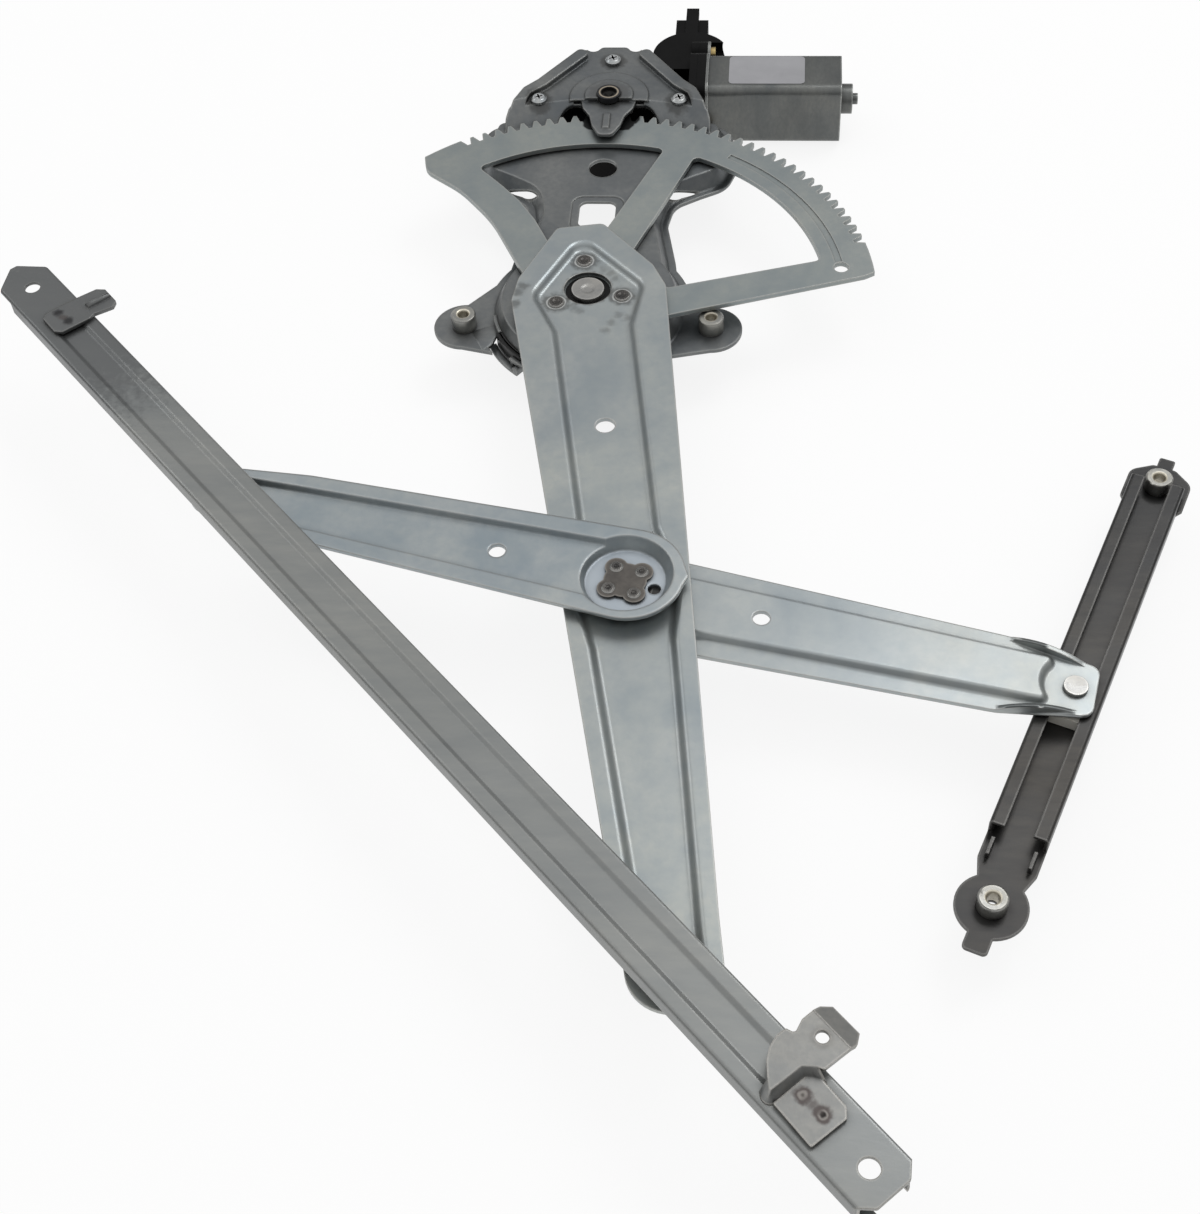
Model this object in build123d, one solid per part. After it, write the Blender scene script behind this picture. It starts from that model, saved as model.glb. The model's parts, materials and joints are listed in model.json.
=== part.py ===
"""Power window regulator: a toothed sector and a crossed pair of pressed arms lift a glass channel.

The frame: the origin is midway between the two weld nuts of the base plate, on its rear mounting face.
X runs from the left nut to the right one, Y up the base plate, and Z out of the door panel, to the front.
Every pivot axis is parallel to Z. The lift arm turns about the main pivot, the equalizer crosses it at
the cross pivot, and the arms' ends slide in the glass channel and in the guide rail.
"""

from build123d import *
import math
import os

os.makedirs("parts", exist_ok=True)


# Arms and the closed linkage: four equal half arms make the channel rise straight
arm_half = 189.0
lift_angle = -80.7
equalizer_angle = -12.9
channel_angle = (lift_angle + equalizer_angle) / 2
rail_angle = -111.4
pivot_y = 13.0

# Sheet gauges and the stack along Z
plate_t = 1.8
sector_t = 2.6
arm_t = 2.0
channel_t = 1.4
rail_t = 1.4
plate_rise = 8.2
plateau_rise = 16.2
layer_gap = 0.8
lift_flange_rise = 3.4
front_flange_rise = 3.0
rear_flange_drop = 3.4
channel_depth = 8.6
rail_depth = 9.0
wall_taper = 28.0

# Running clearances
running = 0.06
side_gap = 0.3
seat_gap = 0.3

plate_front = plate_rise + plate_t
plateau_front = plateau_rise + plate_t
sector_z = plate_front + layer_gap
lift_z = sector_z + sector_t
lift_flange_z = lift_z + lift_flange_rise
front_z = lift_flange_z + arm_t + layer_gap
front_flange_z = front_z + front_flange_rise
dish_z = lift_z + arm_t + layer_gap
rear_z = lift_z - layer_gap - arm_t
rear_flange_z = rear_z - rear_flange_drop
channel_z = front_flange_z + arm_t + layer_gap
rail_top_z = rear_flange_z - layer_gap
rail_z = rail_top_z - rail_depth
upright = (Align.CENTER, Align.CENTER, Align.MIN)


def spot(x, y, z=0.0, turn=0.0):
    """A place in the part's frame, turned about Z."""
    return Pos(x, y, z) * Rot(0, 0, turn)


def along(origin, angle, distance, side=0.0):
    """The point at a distance along a direction, and beside it."""
    a = math.radians(angle)
    x = origin[0] + distance * math.cos(a) - side * math.sin(a)
    y = origin[1] + distance * math.sin(a) + side * math.cos(a)
    return (x, y)


pivot = (0.0, pivot_y)
cross = along(pivot, lift_angle, arm_half)
lift_end = along(pivot, lift_angle, 2 * arm_half)
guide_end = along(cross, equalizer_angle, arm_half)
front_end = along(cross, equalizer_angle, -arm_half)


def outline(points, radii):
    """A closed face through the points, each corner rounded by its radius."""
    corners = FilletPolyline(*points, radius=radii, close=True)
    return make_face(corners.edges())


def mirrored(points):
    """A half outline, given for positive y, closed with its mirror image."""
    low = [(x, -y) for x, y in reversed(points) if y > 1e-6]
    return list(points) + low


def mirrored_radii(points, radii):
    """The radii of a half outline, repeated for its mirror image."""
    low = [r for (x, y), r in zip(reversed(points), reversed(radii)) if y > 1e-6]
    return list(radii) + low


def plate(face, z, thickness):
    """A flat sheet of the face's outline."""
    return extrude(Pos(0, 0, z) * face, thickness)


def disc(radius, z, height, x=0.0, y=0.0):
    """An upright cylinder standing on z."""
    return Pos(x, y, z + height / 2) * Cylinder(radius, height)


def ring(outer, inner, z, height, x=0.0, y=0.0):
    """An upright tube standing on z."""
    return disc(outer, z, height, x, y) - disc(inner, z - 1, height + 2, x, y)


def slab(x0, x1, y0, y1, z0, z1):
    """A box from its two corners."""
    return Pos((x0 + x1) / 2, (y0 + y1) / 2, (z0 + z1) / 2) * Box(x1 - x0, y1 - y0, z1 - z0)


def tub(face, z_low, z_high, wall):
    """The tapered tub that a press forms below the flange level, and the pocket inside it."""
    block = extrude(Pos(0, 0, z_low) * offset(face, wall), z_high - z_low, taper=-wall_taper)
    pocket = extrude(Pos(0, 0, z_low + wall) * face, z_high - z_low, taper=-wall_taper)
    return block, pocket


def dome(face, z_low, z_high, wall):
    """The tapered boss that a press raises above the flange level, and the hollow behind it."""
    block = extrude(Pos(0, 0, z_high) * face, -(z_high - z_low), taper=-wall_taper)
    inner = offset(face, -wall / 2)
    hollow = extrude(Pos(0, 0, z_high - wall) * inner, -(z_high - z_low), taper=-wall_taper)
    return block, hollow


def rivet(radius, head_radius, head, z_low, z_high, x, y):
    """A rivet: a shank and a domed head at each end."""
    shank = disc(radius, z_low, z_high - z_low, x, y)
    top = Pos(x, y, z_high) * Cone(head_radius, head_radius * 0.72, head, align=upright)
    low = Pos(x, y, z_low - head) * Cone(head_radius * 0.72, head_radius, head, align=upright)
    return shank + top + low


def weld_nut(outer, thread, height, z, x, y):
    """A round weld nut with a chamfered crown and a plain thread bore."""
    crown = 0.8
    body = disc(outer, z, height - crown, x, y)
    body += Pos(x, y, z + height - crown) * Cone(outer, outer - crown, crown, align=upright)
    return body - disc(thread, z - 1, height + 2, x, y)


def save(node, *solids):
    """Write one sub-part; more than one solid makes a group."""
    shape = solids[0] if len(solids) == 1 else Compound(children=list(solids))
    export_step(shape, f"parts/{node}.step")


# Sector gear and pinion: one involute module, the pinion shifted out and the sector in
module = 2.25
sector_teeth = 123
pinion_teeth = 9
pressure = math.radians(20.0)
tooth_shift = 0.45
tooth_thinning = 0.2
gaps_right = 25
gaps_left = 11
tooth_pitch = 360.0 / sector_teeth
gear_centres = module * (sector_teeth + pinion_teeth) / 2
drive_at = (pivot[0], pivot[1] + gear_centres)

sector_tip = module * (sector_teeth / 2 + 1 - tooth_shift)
sector_root = module * (sector_teeth / 2 - 1.25 - tooth_shift)
sector_band = 115.0
sector_hub = 34.0
lobe_hole_r = 3.6
window_r = 3.0
lobe_hole = (124.0, 9.0)
bead_radius = 123.5
bead_width = 3.4
bead_depth = 0.5
bead_from = 11.0
bead_to = 58.0


def involute(angle):
    return math.tan(angle) - angle


def half_tooth(teeth, shift, radius):
    """Half the angle that a tooth fills at a radius, in radians."""
    base = module * teeth / 2 * math.cos(pressure)
    at_pitch = (math.pi / 2 + 2 * shift * math.tan(pressure) - tooth_thinning / module) / teeth
    return at_pitch + involute(pressure) - involute(math.acos(min(1.0, base / radius)))


def polar(radius, angle):
    """A point from its radius and its angle in radians."""
    return (radius * math.cos(angle), radius * math.sin(angle))


def tooth_gap(teeth, shift, tip, root):
    """The face cut between two teeth, centred on the X axis."""
    radii = [root, root + 0.35 * (tip - root), root + 0.7 * (tip - root), tip, 1.02 * tip + 1.0]
    flank = []
    for radius in radii:
        flank.append(polar(radius, math.pi / teeth - half_tooth(teeth, shift, min(radius, tip))))
    other = [(x, -y) for x, y in reversed(flank)]
    return make_face(Polyline(*flank, *other, close=True))


# The rivets that join the lift arm to the sector, in the lift arm's own frame
sector_rivet_r = 3.0
sector_rivet_spots = [(-20.0, 0.0), (8.0, 16.0), (8.0, -16.0)]
shaft_r = 7.0
shaft_seat_r = 8.0


def sector_gear():
    """The toothed sector: a band with two lobes on three spokes, blanked from thick sheet."""
    corners = [(39.9, -16.1), (134.0, 13.4), (148.0, 22.0), (120.0, 110.0), (0.0, 165.0), (-74.5, 121.5),
               (-95.5, 110.5), (-92.0, 92.0), (-72.0, 76.5), (-53.5, 53.5), (-33.0, 12.0), (-28.0, -14.0),
               (-8.0, -30.0), (20.0, -27.0)]
    rounds = [3, 6, 6, 0, 0, 4, 12, 12, 60, 100, 8, 8, 8, 8]
    face = outline(corners, rounds) & Circle(sector_tip)
    gap = tooth_gap(sector_teeth, -tooth_shift, sector_tip, sector_root)
    face -= [Rot(0, 0, 90 + k * tooth_pitch) * gap for k in range(-gaps_right, gaps_left + 1)]
    reach = Circle(sector_band) - Circle(sector_hub)
    left = make_face(Polyline((-78, 112), (36.4, 123.4), (6.4, 48.2), (0, 30), (-18, 30), (-22.2, 35.1),
                              (-31.2, 53.5), (-40.4, 68.0), (-50.0, 79.5), (-65.6, 96.2), close=True)) & reach
    right = make_face(Polyline((56, 127.3), (140, 32.3), (108.3, 23.2), (37.9, 3.1), (19.9, 30.1),
                               close=True)) & reach
    for window in (left, right):
        face -= offset(offset(window, -window_r), window_r)
    face -= Pos(*polar(lobe_hole[0], math.radians(lobe_hole[1]))) * Circle(lobe_hole_r)
    face -= Circle(shaft_seat_r)
    for x, y in sector_rivet_spots:
        face -= Rot(0, 0, lift_angle) * Pos(x, y) * Circle(sector_rivet_r)
    body = plate(face, sector_z, sector_t)
    bead = Circle(bead_radius + bead_width / 2) - Circle(bead_radius - bead_width / 2)
    rays = [polar(200, math.radians(angle)) for angle in (bead_from, bead_to)]
    wedge = make_face(Polyline((0, 0), *rays, close=True))
    body -= plate(bead & wedge, sector_z + sector_t - bead_depth, 1)
    return spot(*pivot) * body


# Lift arm: half outlines along the arm, from the pivot towards the glass end
cross_bore_r = 12.0
arm_hole_r = 4.5
arm_hole_s = 93.7
pin_r = 4.0
head_ring_r = 11.5
lift_edge = [(-43.0, 11.5), (-8.5, 33.0), (7.0, 37.5), (352.0, 18.8), (389.0, 17.6)]
lift_edge_r = [4, 10, 8, 40, 17.4]
lift_panel = [(-33.2, 0.0), (4.0, 25.5), (30.5, 17.4), (arm_half - 29, 15.2), (arm_half - 8, 19.8),
              (arm_half + 8, 19.8), (arm_half + 33, 15.8), (352.0, 10.0), (382.6, 9.0)]
lift_panel_r = [6, 8, 14, 12, 12, 12, 12, 30, 8.8]


def lift_arm():
    """The pressed lift arm: raised edges round a sunk centre panel that is riveted to the sector."""
    edge = outline(mirrored(lift_edge), mirrored_radii(lift_edge, lift_edge_r))
    panel = outline(mirrored(lift_panel), mirrored_radii(lift_panel, lift_panel_r))
    block, pocket = tub(panel, lift_z, lift_flange_z + arm_t, arm_t)
    body = plate(edge, lift_flange_z, arm_t) + block - pocket
    holes = [(head_ring_r, 0, 0), (arm_hole_r, arm_hole_s, 0), (cross_bore_r + running, arm_half, 0),
             (pin_r, 2 * arm_half, 0)]
    for x, y in sector_rivet_spots:
        holes.append((sector_rivet_r, x, y))
    for radius, x, y in holes:
        body -= disc(radius, lift_z - 1, 12, x, y)
    return spot(*pivot, 0, lift_angle) * body


# Equalizer: the front arm reaches the glass channel and the rear arm the guide rail
cross_round_r = 25.3
dish_r = 17.2
dish_ring_r = 19.6
dish_hole = (13.0, -0.8)
dish_hole_r = 2.8
panel_fillet = 6.0
small_hole_r = 3.7
front_edge = [(cross_round_r, cross_round_r), (-150.0, 18.2), (-199.0, 12.2)]
front_edge_r = [24.0, 60, 12]
front_nose = [(21.9, 12.6), (26.5, 4.7), (23.1, -10.3)]
front_panel = [(-6.0, 14.4), (-150.0, 9.8), (-195.0, 8.0)]
front_panel_r = [2, 40, 7.8]
rear_edge = [(-cross_round_r, cross_round_r), (160.0, 19.2), (197.5, 12.2)]
rear_edge_r = [24.0, 30, 5]
rear_panel = [(0.0, 14.2), (179.0, 10.4)]
rear_panel_r = [2, 2]
scallop_r = 14.6
scallop_fillet = 1.6
curl_from = 156.0
curl_to = 195.0
curl_height = 5.4
curl_arc_r = (((curl_to - curl_from) / 2) ** 2 + curl_height ** 2) / (2 * curl_height)
hub_rivet_r = 2.4
hub_rivet_spots = [(x, y) for x in (-5.6, 5.6) for y in (-6.0, 6.0)]
hub_plate_t = 1.2


def front_arm():
    """The front half of the equalizer, with the dished centre that is riveted to the hub."""
    edge = outline(mirrored(front_edge), mirrored_radii(front_edge, front_edge_r))
    edge += make_face(Polyline((0, 0), *front_nose, close=True))
    panel = outline(mirrored(front_panel), mirrored_radii(front_panel, front_panel_r))
    block, pocket = tub(panel, front_z, front_flange_z + arm_t, arm_t)
    dish, bowl = tub(Circle(dish_r), dish_z, front_flange_z + arm_t, arm_t)
    body = plate(edge, front_flange_z, arm_t) + block + dish - pocket - bowl
    body -= disc(small_hole_r, front_z - 1, 8, -57, 0)
    body -= disc(dish_hole_r, dish_z - 1, 8, *dish_hole)
    body -= disc(pin_r, front_z - 1, 8, -arm_half, 0)
    for x, y in hub_rivet_spots:
        body -= disc(hub_rivet_r, dish_z - 1, 8, x, y)
    return spot(*cross, 0, equalizer_angle) * body


def rear_arm():
    """The rear half of the equalizer: a raised centre, low edges, and leaf-shaped walls at the rail end."""
    edge = outline(mirrored(rear_edge), mirrored_radii(rear_edge, rear_edge_r))
    panel = outline(mirrored(rear_panel), mirrored_radii(rear_panel, rear_panel_r)) + Circle(dish_ring_r)
    panel = offset(offset(panel, panel_fillet), -panel_fillet) - Pos(arm_half, 0) * Circle(scallop_r)
    panel = offset(offset(panel, -scallop_fillet), scallop_fillet)
    block, hollow = dome(panel, rear_flange_z, rear_z + arm_t, arm_t)
    middle = (curl_from + curl_to) / 2
    rim = (edge - offset(edge, -arm_t)) & (Pos(middle, 0) * Rectangle(curl_to - curl_from, 80))
    leaf = Pos(middle, 0, rear_flange_z + curl_height - curl_arc_r) * Rot(90, 0, 0) * Cylinder(curl_arc_r, 80)
    body = plate(edge, rear_flange_z, arm_t) + block - hollow
    body += plate(rim, rear_flange_z, curl_height) & leaf
    body -= disc(small_hole_r, rear_flange_z - 1, 12, 59, 0)
    body -= disc(pin_r, rear_flange_z - 1, 12, arm_half, 0)
    for x, y in hub_rivet_spots:
        body -= disc(hub_rivet_r, rear_flange_z - 1, 12, x, y)
    return spot(*cross, 0, equalizer_angle) * body


# Hub of the crossing, and the rivets, washers and pins of the linkage
washer_t = layer_gap - 0.1
washer_r = 17.0
hub_plate_r = 9.2
hub_lobe_r = 4.9
neck_r = 4.0
collar_r = 6.5
neck_gap = 0.4
pin_head_r = 5.0
pin_head = 1.8
shoe_gap = 0.3
web_sink = 1.0
shoe_low = channel_z + channel_t + shoe_gap
shoe_high = channel_z + channel_depth - channel_t - web_sink - shoe_gap
rail_shoe_low = rail_z + rail_t + shoe_gap
rail_shoe_high = rail_top_z - rail_t - shoe_gap


def hub():
    """The plain boss that the lift arm's bore turns on, drilled for its four rivets."""
    body = disc(cross_bore_r, rear_z + arm_t, dish_z - rear_z - arm_t)
    for x, y in hub_rivet_spots:
        body -= disc(hub_rivet_r, rear_z, 20, x, y)
    return spot(*cross, 0, equalizer_angle) * body


def hub_plate():
    """The clover-shaped plate that spreads the load of the four hub rivets."""
    face = Circle(hub_plate_r)
    for x, y in hub_rivet_spots:
        face += Pos(x, y) * Circle(hub_lobe_r)
    body = plate(face, dish_z + arm_t, hub_plate_t)
    for x, y in hub_rivet_spots:
        body -= disc(hub_rivet_r, dish_z, 8, x, y)
    return spot(*cross, 0, equalizer_angle) * body


def hub_rivets():
    """Four rivets through the clover plate, the front arm, the hub and the rear arm."""
    solids = []
    for x, y in hub_rivet_spots:
        body = rivet(hub_rivet_r, 3.1, 0.8, rear_z, dish_z + arm_t + hub_plate_t, x, y)
        body -= Pos(x, y, dish_z + arm_t + hub_plate_t + 0.2) * Cone(0.6, 1.5, 0.7, align=upright)
        solids.append(spot(*cross, 0, equalizer_angle) * body)
    return solids


def cross_washers():
    """The two thin slide washers, behind and in front of the lift arm, that turn with the hub."""
    rear = ring(washer_r, cross_bore_r, rear_z + arm_t, washer_t, *cross)
    front = ring(washer_r, cross_bore_r, dish_z - washer_t, washer_t, *cross)
    return [rear, front]


def sector_rivets():
    """Three rivets that join the lift arm's head to the sector."""
    solids = []
    for x, y in sector_rivet_spots:
        body = disc(sector_rivet_r, sector_z, lift_z + arm_t - sector_z, x, y)
        body += Pos(x, y, lift_z + arm_t) * Cone(4.2, 3.6, 0.9, align=upright)
        body -= Pos(x, y, lift_z + arm_t + 0.3) * Cone(1.0, 2.4, 0.7, align=upright)
        solids.append(spot(*pivot, 0, lift_angle) * body)
    return solids


def channel_pin(place, foot, edge):
    """A shouldered pin that is riveted in an arm's end and stands up into the glass channel."""
    top = shoe_high - shoe_gap
    body = disc(pin_r, foot, edge - foot) + disc(collar_r, edge, channel_z - neck_gap - edge)
    body += disc(neck_r, channel_z - neck_gap, top - channel_z + neck_gap)
    return spot(*place) * body


def guide_pin():
    """The headed pin at the rear arm's end, which carries the shoe in the guide rail."""
    low = rail_shoe_low + shoe_gap
    body = disc(pin_r, low, rear_flange_z + arm_t - low) + disc(pin_head_r, rear_flange_z + arm_t, pin_head)
    return spot(*guide_end) * body


def shoe(length, width, corner, low, high):
    """A moulded sliding shoe with a bore for its pin and a shallow oil groove along each side."""
    face = outline([(-length / 2, -width / 2), (length / 2, -width / 2), (length / 2, width / 2),
                    (-length / 2, width / 2)], corner)
    body = plate(face, low, high - low)
    groove = slab(-length / 2, length / 2, -0.6, 0.6, (low + high) / 2 - 0.7, (low + high) / 2 + 0.7)
    for side in (-1, 1):
        body -= Pos(0, side * width / 2, 0) * groove
    return body - disc(neck_r + running, low - 1, high - low + 2)


# Glass channel and its brackets, in a frame that starts at the front arm's pin
channel_width = 26.0
channel_lip = 5.0
channel_left = 183.5
channel_right = 422.5
channel_hole_r = 3.75
channel_holes = (-164.0, 411.0)
web_flat = 10.0
web_slope = 2.0
band_from = -133.0
band_to = 385.0
shoe_length = 30.0
shoe_corner = 5.0
nose_length = 12.0
tongue_length = 9.0


def c_profile(width, depth, wall, lip):
    """The section of a lipped channel, open downwards, its web on top at zero."""
    face = Pos(0, -depth / 2) * Rectangle(width, depth)
    face -= Pos(0, -depth / 2) * Rectangle(width - 2 * wall, depth - 2 * wall)
    return face - Pos(0, -depth) * Rectangle(width - 2 * wall - 2 * lip, 3 * wall)


def run_along(section, x0, x1, z):
    """A rolled section, drawn in a plane across X, run from x0 to x1 with its zero at z."""
    return Pos(x0, 0, z) * Rot(0, 0, 90) * Rot(90, 0, 0) * extrude(section, x1 - x0)


def glass_channel():
    """The roll-formed channel that lifts the glass: a lipped section with a sunk band along its web."""
    top = channel_z + channel_depth
    half = channel_width / 2
    face = c_profile(channel_width, channel_depth, channel_t, channel_lip)
    section = fillet(face.vertices().filter_by(lambda v: abs(abs(v.X) - half) < 1e-3), channel_t)
    body = run_along(section, -channel_left, channel_right, top)
    crest, floor = web_flat / 2 + web_slope, web_flat / 2
    sink = make_face(Polyline((-crest, 0), (-floor, -web_sink), (floor, -web_sink), (crest, 0), close=True))
    body += run_along(Pos(0, -channel_t) * sink, band_from, band_to, top)
    body -= run_along(sink, band_from + channel_t, band_to - channel_t, top)
    plan = outline([(-channel_left, 1.8), (-channel_left + nose_length, half + 1), (channel_right - 6, half + 1),
                    (channel_right, half - 5.5), (channel_right, -half + 5.5), (channel_right - 6, -half - 1),
                    (-channel_left + nose_length, -half - 1), (-channel_left, -1.8)],
                   [1.2, 1, 1, 1.5, 1.5, 1, 1, 1.2])
    body &= plate(plan, channel_z - 1, channel_depth + 2)
    body -= slab(-channel_left - 1, -channel_left + nose_length + tongue_length, -half - 1, half + 1,
                 channel_z - 1, top - channel_t)
    for x in channel_holes:
        body -= disc(channel_hole_r, channel_z - 1, channel_depth + 2, x)
    return spot(*front_end, 0, channel_angle) * body


bracket_t = 1.8
bracket_hole_r = 2.4
bracket_hole = (369.3, 18.0)
bracket_rise = 4.0
ear_tab_from = 22.7
ear_tab_angle = -28.0


def left_bracket():
    """The small strap spot welded across the channel's left end, with a rib on its free tab."""
    low = channel_z + channel_depth
    face = outline([(-141.0, -4.5), (-138.5, -7.5), (-127.0, -7.7), (-124.0, -5.0), (-123.6, 9.5), (-125.0, 12.5),
                    (-123.2, 22.0), (-125.8, 25.0), (-136.5, 25.2), (-139.6, 22.0), (-140.5, 12.0)],
                   [1, 1, 1, 1, 1, 1, 1, 1, 1, 1, 1])
    body = plate(face, low, bracket_t)
    rib = Pos(-131.5, 18.5, low + bracket_t) * Rot(90, 0, 0) * Cylinder(1.7, 12)
    body += rib & slab(-136, -129, 12, 29, low + bracket_t / 2, low + 9)
    return spot(*front_end, 0, channel_angle) * body


def right_bracket():
    """The stepped bracket at the channel's right end: a welded foot, a raised ear and its bent tab."""
    low = channel_z + channel_depth
    high = low + bracket_rise
    foot = outline([(374.8, -9.4), (394.2, -10.2), (394.6, 5.5), (391.4, 8.4), (378.0, 9.0), (374.8, 4.8)],
                   [0.4, 0.8, 0.6, 0.6, 0.4, 0.4])
    ear = outline([(372.2, -8.6), (367.6, -5.6), (363.2, -2.0), (360.1, 2.4), (358.7, 7.0), (359.0, 10.8),
                   (362.2, 12.0), (360.0, 17.3), (360.0, ear_tab_from), (378.7, ear_tab_from), (378.4, 10.4),
                   (376.0, 9.3), (372.4, 5.6)], [0.5, 8, 8, 8, 5, 0.6, 1.2, 2, 0.2, 0.2, 1, 1, 1.5])
    tab = outline([(360.0, -0.4), (378.7, -0.4), (378.6, 3.2), (375.4, 8.0), (362.2, 8.0), (360.0, 3.4)], 0.3)
    step = outline([(368.0, -12.0), (385.0, -12.0), (385.0, 9.2), (379.4, 9.6), (374.0, 9.6), (369.0, 5.0)], 0.5)
    block, hollow = dome(ear, low, high + bracket_t, bracket_t)
    body = (block - hollow) & plate(step, low, high + bracket_t - low)
    body = body + plate(foot, low, bracket_t) + plate(ear, high, bracket_t)
    bent = Pos(0, ear_tab_from, high + bracket_t) * Rot(ear_tab_angle, 0, 0)
    body += bent * plate(tab, -bracket_t, bracket_t)
    body -= disc(bracket_hole_r, low - 1, 12, *bracket_hole)
    return spot(*front_end, 0, channel_angle) * body


# Guide rail, in a frame that starts at the guide pin and runs down the rail
rail_width = 23.6
rail_lip = 4.6
rail_up = 129.0
rail_down = 103.0
rail_lips_from = -126.0
rail_lips_to = 72.0
rail_round_r = 14.2
nut_r = 6.0
thread_r = 2.5
rail_nut_height = 6.6
rail_shoe_length = 26.0


def guide_rail():
    """The lipped rail that opens to the front, with rounded ends that carry its weld nuts."""
    half = rail_width / 2
    edge = [(rail_down - 10, 9.0), (rail_lips_to + 12, half), (-rail_up + 13, half), (-rail_up + 10, half + 2),
            (-rail_up - 6, half + 2), (-rail_up - 12.5, 5)]
    base = outline(mirrored(edge), mirrored_radii(edge, [1, 2, 1, 1, 6, 3]))
    base += Pos(rail_down, 0) * Circle(rail_round_r)
    base += outline([(rail_down, -5), (rail_down + 21, -5), (rail_down + 21, 5), (rail_down, 5)], 2)
    base += outline([(-rail_up - 18, -3.5), (-rail_up, -3.5), (-rail_up, 3.5), (-rail_up - 18, 3.5)], 1)
    body = plate(base, rail_z, rail_t)
    face = Rot(0, 0, 180) * c_profile(rail_width, rail_depth, rail_t, rail_lip)
    section = fillet(face.vertices().filter_by(lambda v: abs(abs(v.X) - half) < 1e-3), rail_t)
    body += run_along(section, rail_lips_from, rail_lips_to, rail_z)
    for side in (-1, 1):
        face = half - 2.6
        tab = slab(rail_lips_to + 4, rail_lips_to + 12, face - rail_t, face, rail_z, rail_top_z - 3.5)
        body += tab if side > 0 else mirror(tab, Plane.XZ)
    for x in (-rail_up, rail_down):
        body -= disc(thread_r, rail_z - 1, 9, x)
    return spot(*guide_end, 0, rail_angle) * body


def rail_nuts():
    """The two weld nuts that fasten the rail to the door's inner panel."""
    solids = []
    for x in (-rail_up, rail_down):
        body = weld_nut(nut_r, thread_r, rail_nut_height, rail_z + rail_t, x, 0)
        solids.append(spot(*guide_end, 0, rail_angle) * body)
    return solids


# Base plate: half outlines give the distance up the plate and the half width
ear_spacing = 120.6
ear_round_r = 15.0
ear_nut_r = 6.1
ear_nut_height = 8.0
cup_r = 42.5
body_half = [(8.0, 38.0), (46.0, 33.0), (76.0, 27.3), (96.0, 31.0), (106.0, 47.0), (112.0, 58.0), (124.0, 62.0),
             (150.0, 58.0)]
body_half_r = [4, 20, 24, 20, 10, 8, 12, 4]
flange_width = 2.6
plateau_half = [(118.0, 55.0), (147.0, 54.5), (166.0, 47.5), (174.0, 40.0), (203.0, 19.5), (204.5, 15.0),
                (199.0, 11.5), (206.5, 7.0)]
plateau_half_r = [2, 6, 6, 10, 2, 2, 4, 3]
apron_r = sector_tip - 1.6
apron_wall = 2.5
rib_half = [(149.0, 53.2), (166.2, 46.2), (173.6, 39.0), (201.6, 18.6), (197.8, 12.8), (169.0, 34.2),
            (162.0, 41.9), (147.0, 47.0)]
rib_rise = 3.0
nose_half = [(161.0, 15.0), (152.5, 13.4), (146.0, 9.4), (138.0, 7.6), (130.0, 3.6)]
nose_half_r = [0, 4, 6, 5, 3.4]
opening_half = 27.0
opening_low = 131.5
opening_high = 158.0
opening_r = 10.0
window_centre = (-0.5, 75.5)
window_size = (18.5, 19.5)
light_hole = (0.0, 112.0)
light_hole_r = 7.3
bush_hole_r = 10.0
tip_bush_r = 6.4
screw_r = 2.1
screw_hole_r = 2.6
screw_head_r = 4.3
screw_head = 2.6
screw_spots = [(0.0, 193.5), (-37.5, 158.8), (37.5, 158.8)]
boss_rings = [(21.5, 1.2), (14.0, 2.4)]

# Balance spring: a flat spiral of half rings, hooked to the plate's tab and to the slotted shaft
spring_t = 1.6
spring_low = -4.4
spring_high = 3.2
spring_start = 12.0
spring_pitch = 6.2
spring_half_turns = 10
spring_angle = 223.0
spring_slot = 2.0
spring_end = spring_start + spring_pitch * spring_half_turns / 2
tab_r = (44.5, 50.0)

# Motor and gearbox, behind the plateau; the worm runs along X
housing_r = 32.0
housing_wall = 2.4
housing_front = 6.6
housing_rear = -15.8
wheel_z = -6.0
wheel_t = 9.0
wheel_r = 27.0
wheel_teeth = 56
worm_offset = 32.3
worm_r = 4.9
worm_half = 12.0
armature_r = 3.0
drive_shaft_r = 5.0
drive_tip_r = 4.0
pinion_low = sector_z - 0.6
pinion_high = lift_z + 1.2
pinion_tip = 12.9
rubber_r = 9.0
post_r = 5.2
can_from = 52.0
can_to = 124.0
can_width = 34.0
can_height = 36.0
can_corner = 5.0
can_wall = 1.8
motor_y = drive_at[1] + worm_offset


def up_plate(points, radii):
    """A face from half outlines that run up the plate."""
    return Rot(0, 0, 90) * outline(mirrored(points), mirrored_radii(points, radii))


def apron(grow):
    """The space in front of the slope that leads from the plate up to the plateau, clear of the sector."""
    reach = plateau_front + rib_rise + 2.0
    low = apron_r - plate_rise + grow
    return Pos(*pivot) * Cone(low, low + reach, reach, align=upright)


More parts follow.
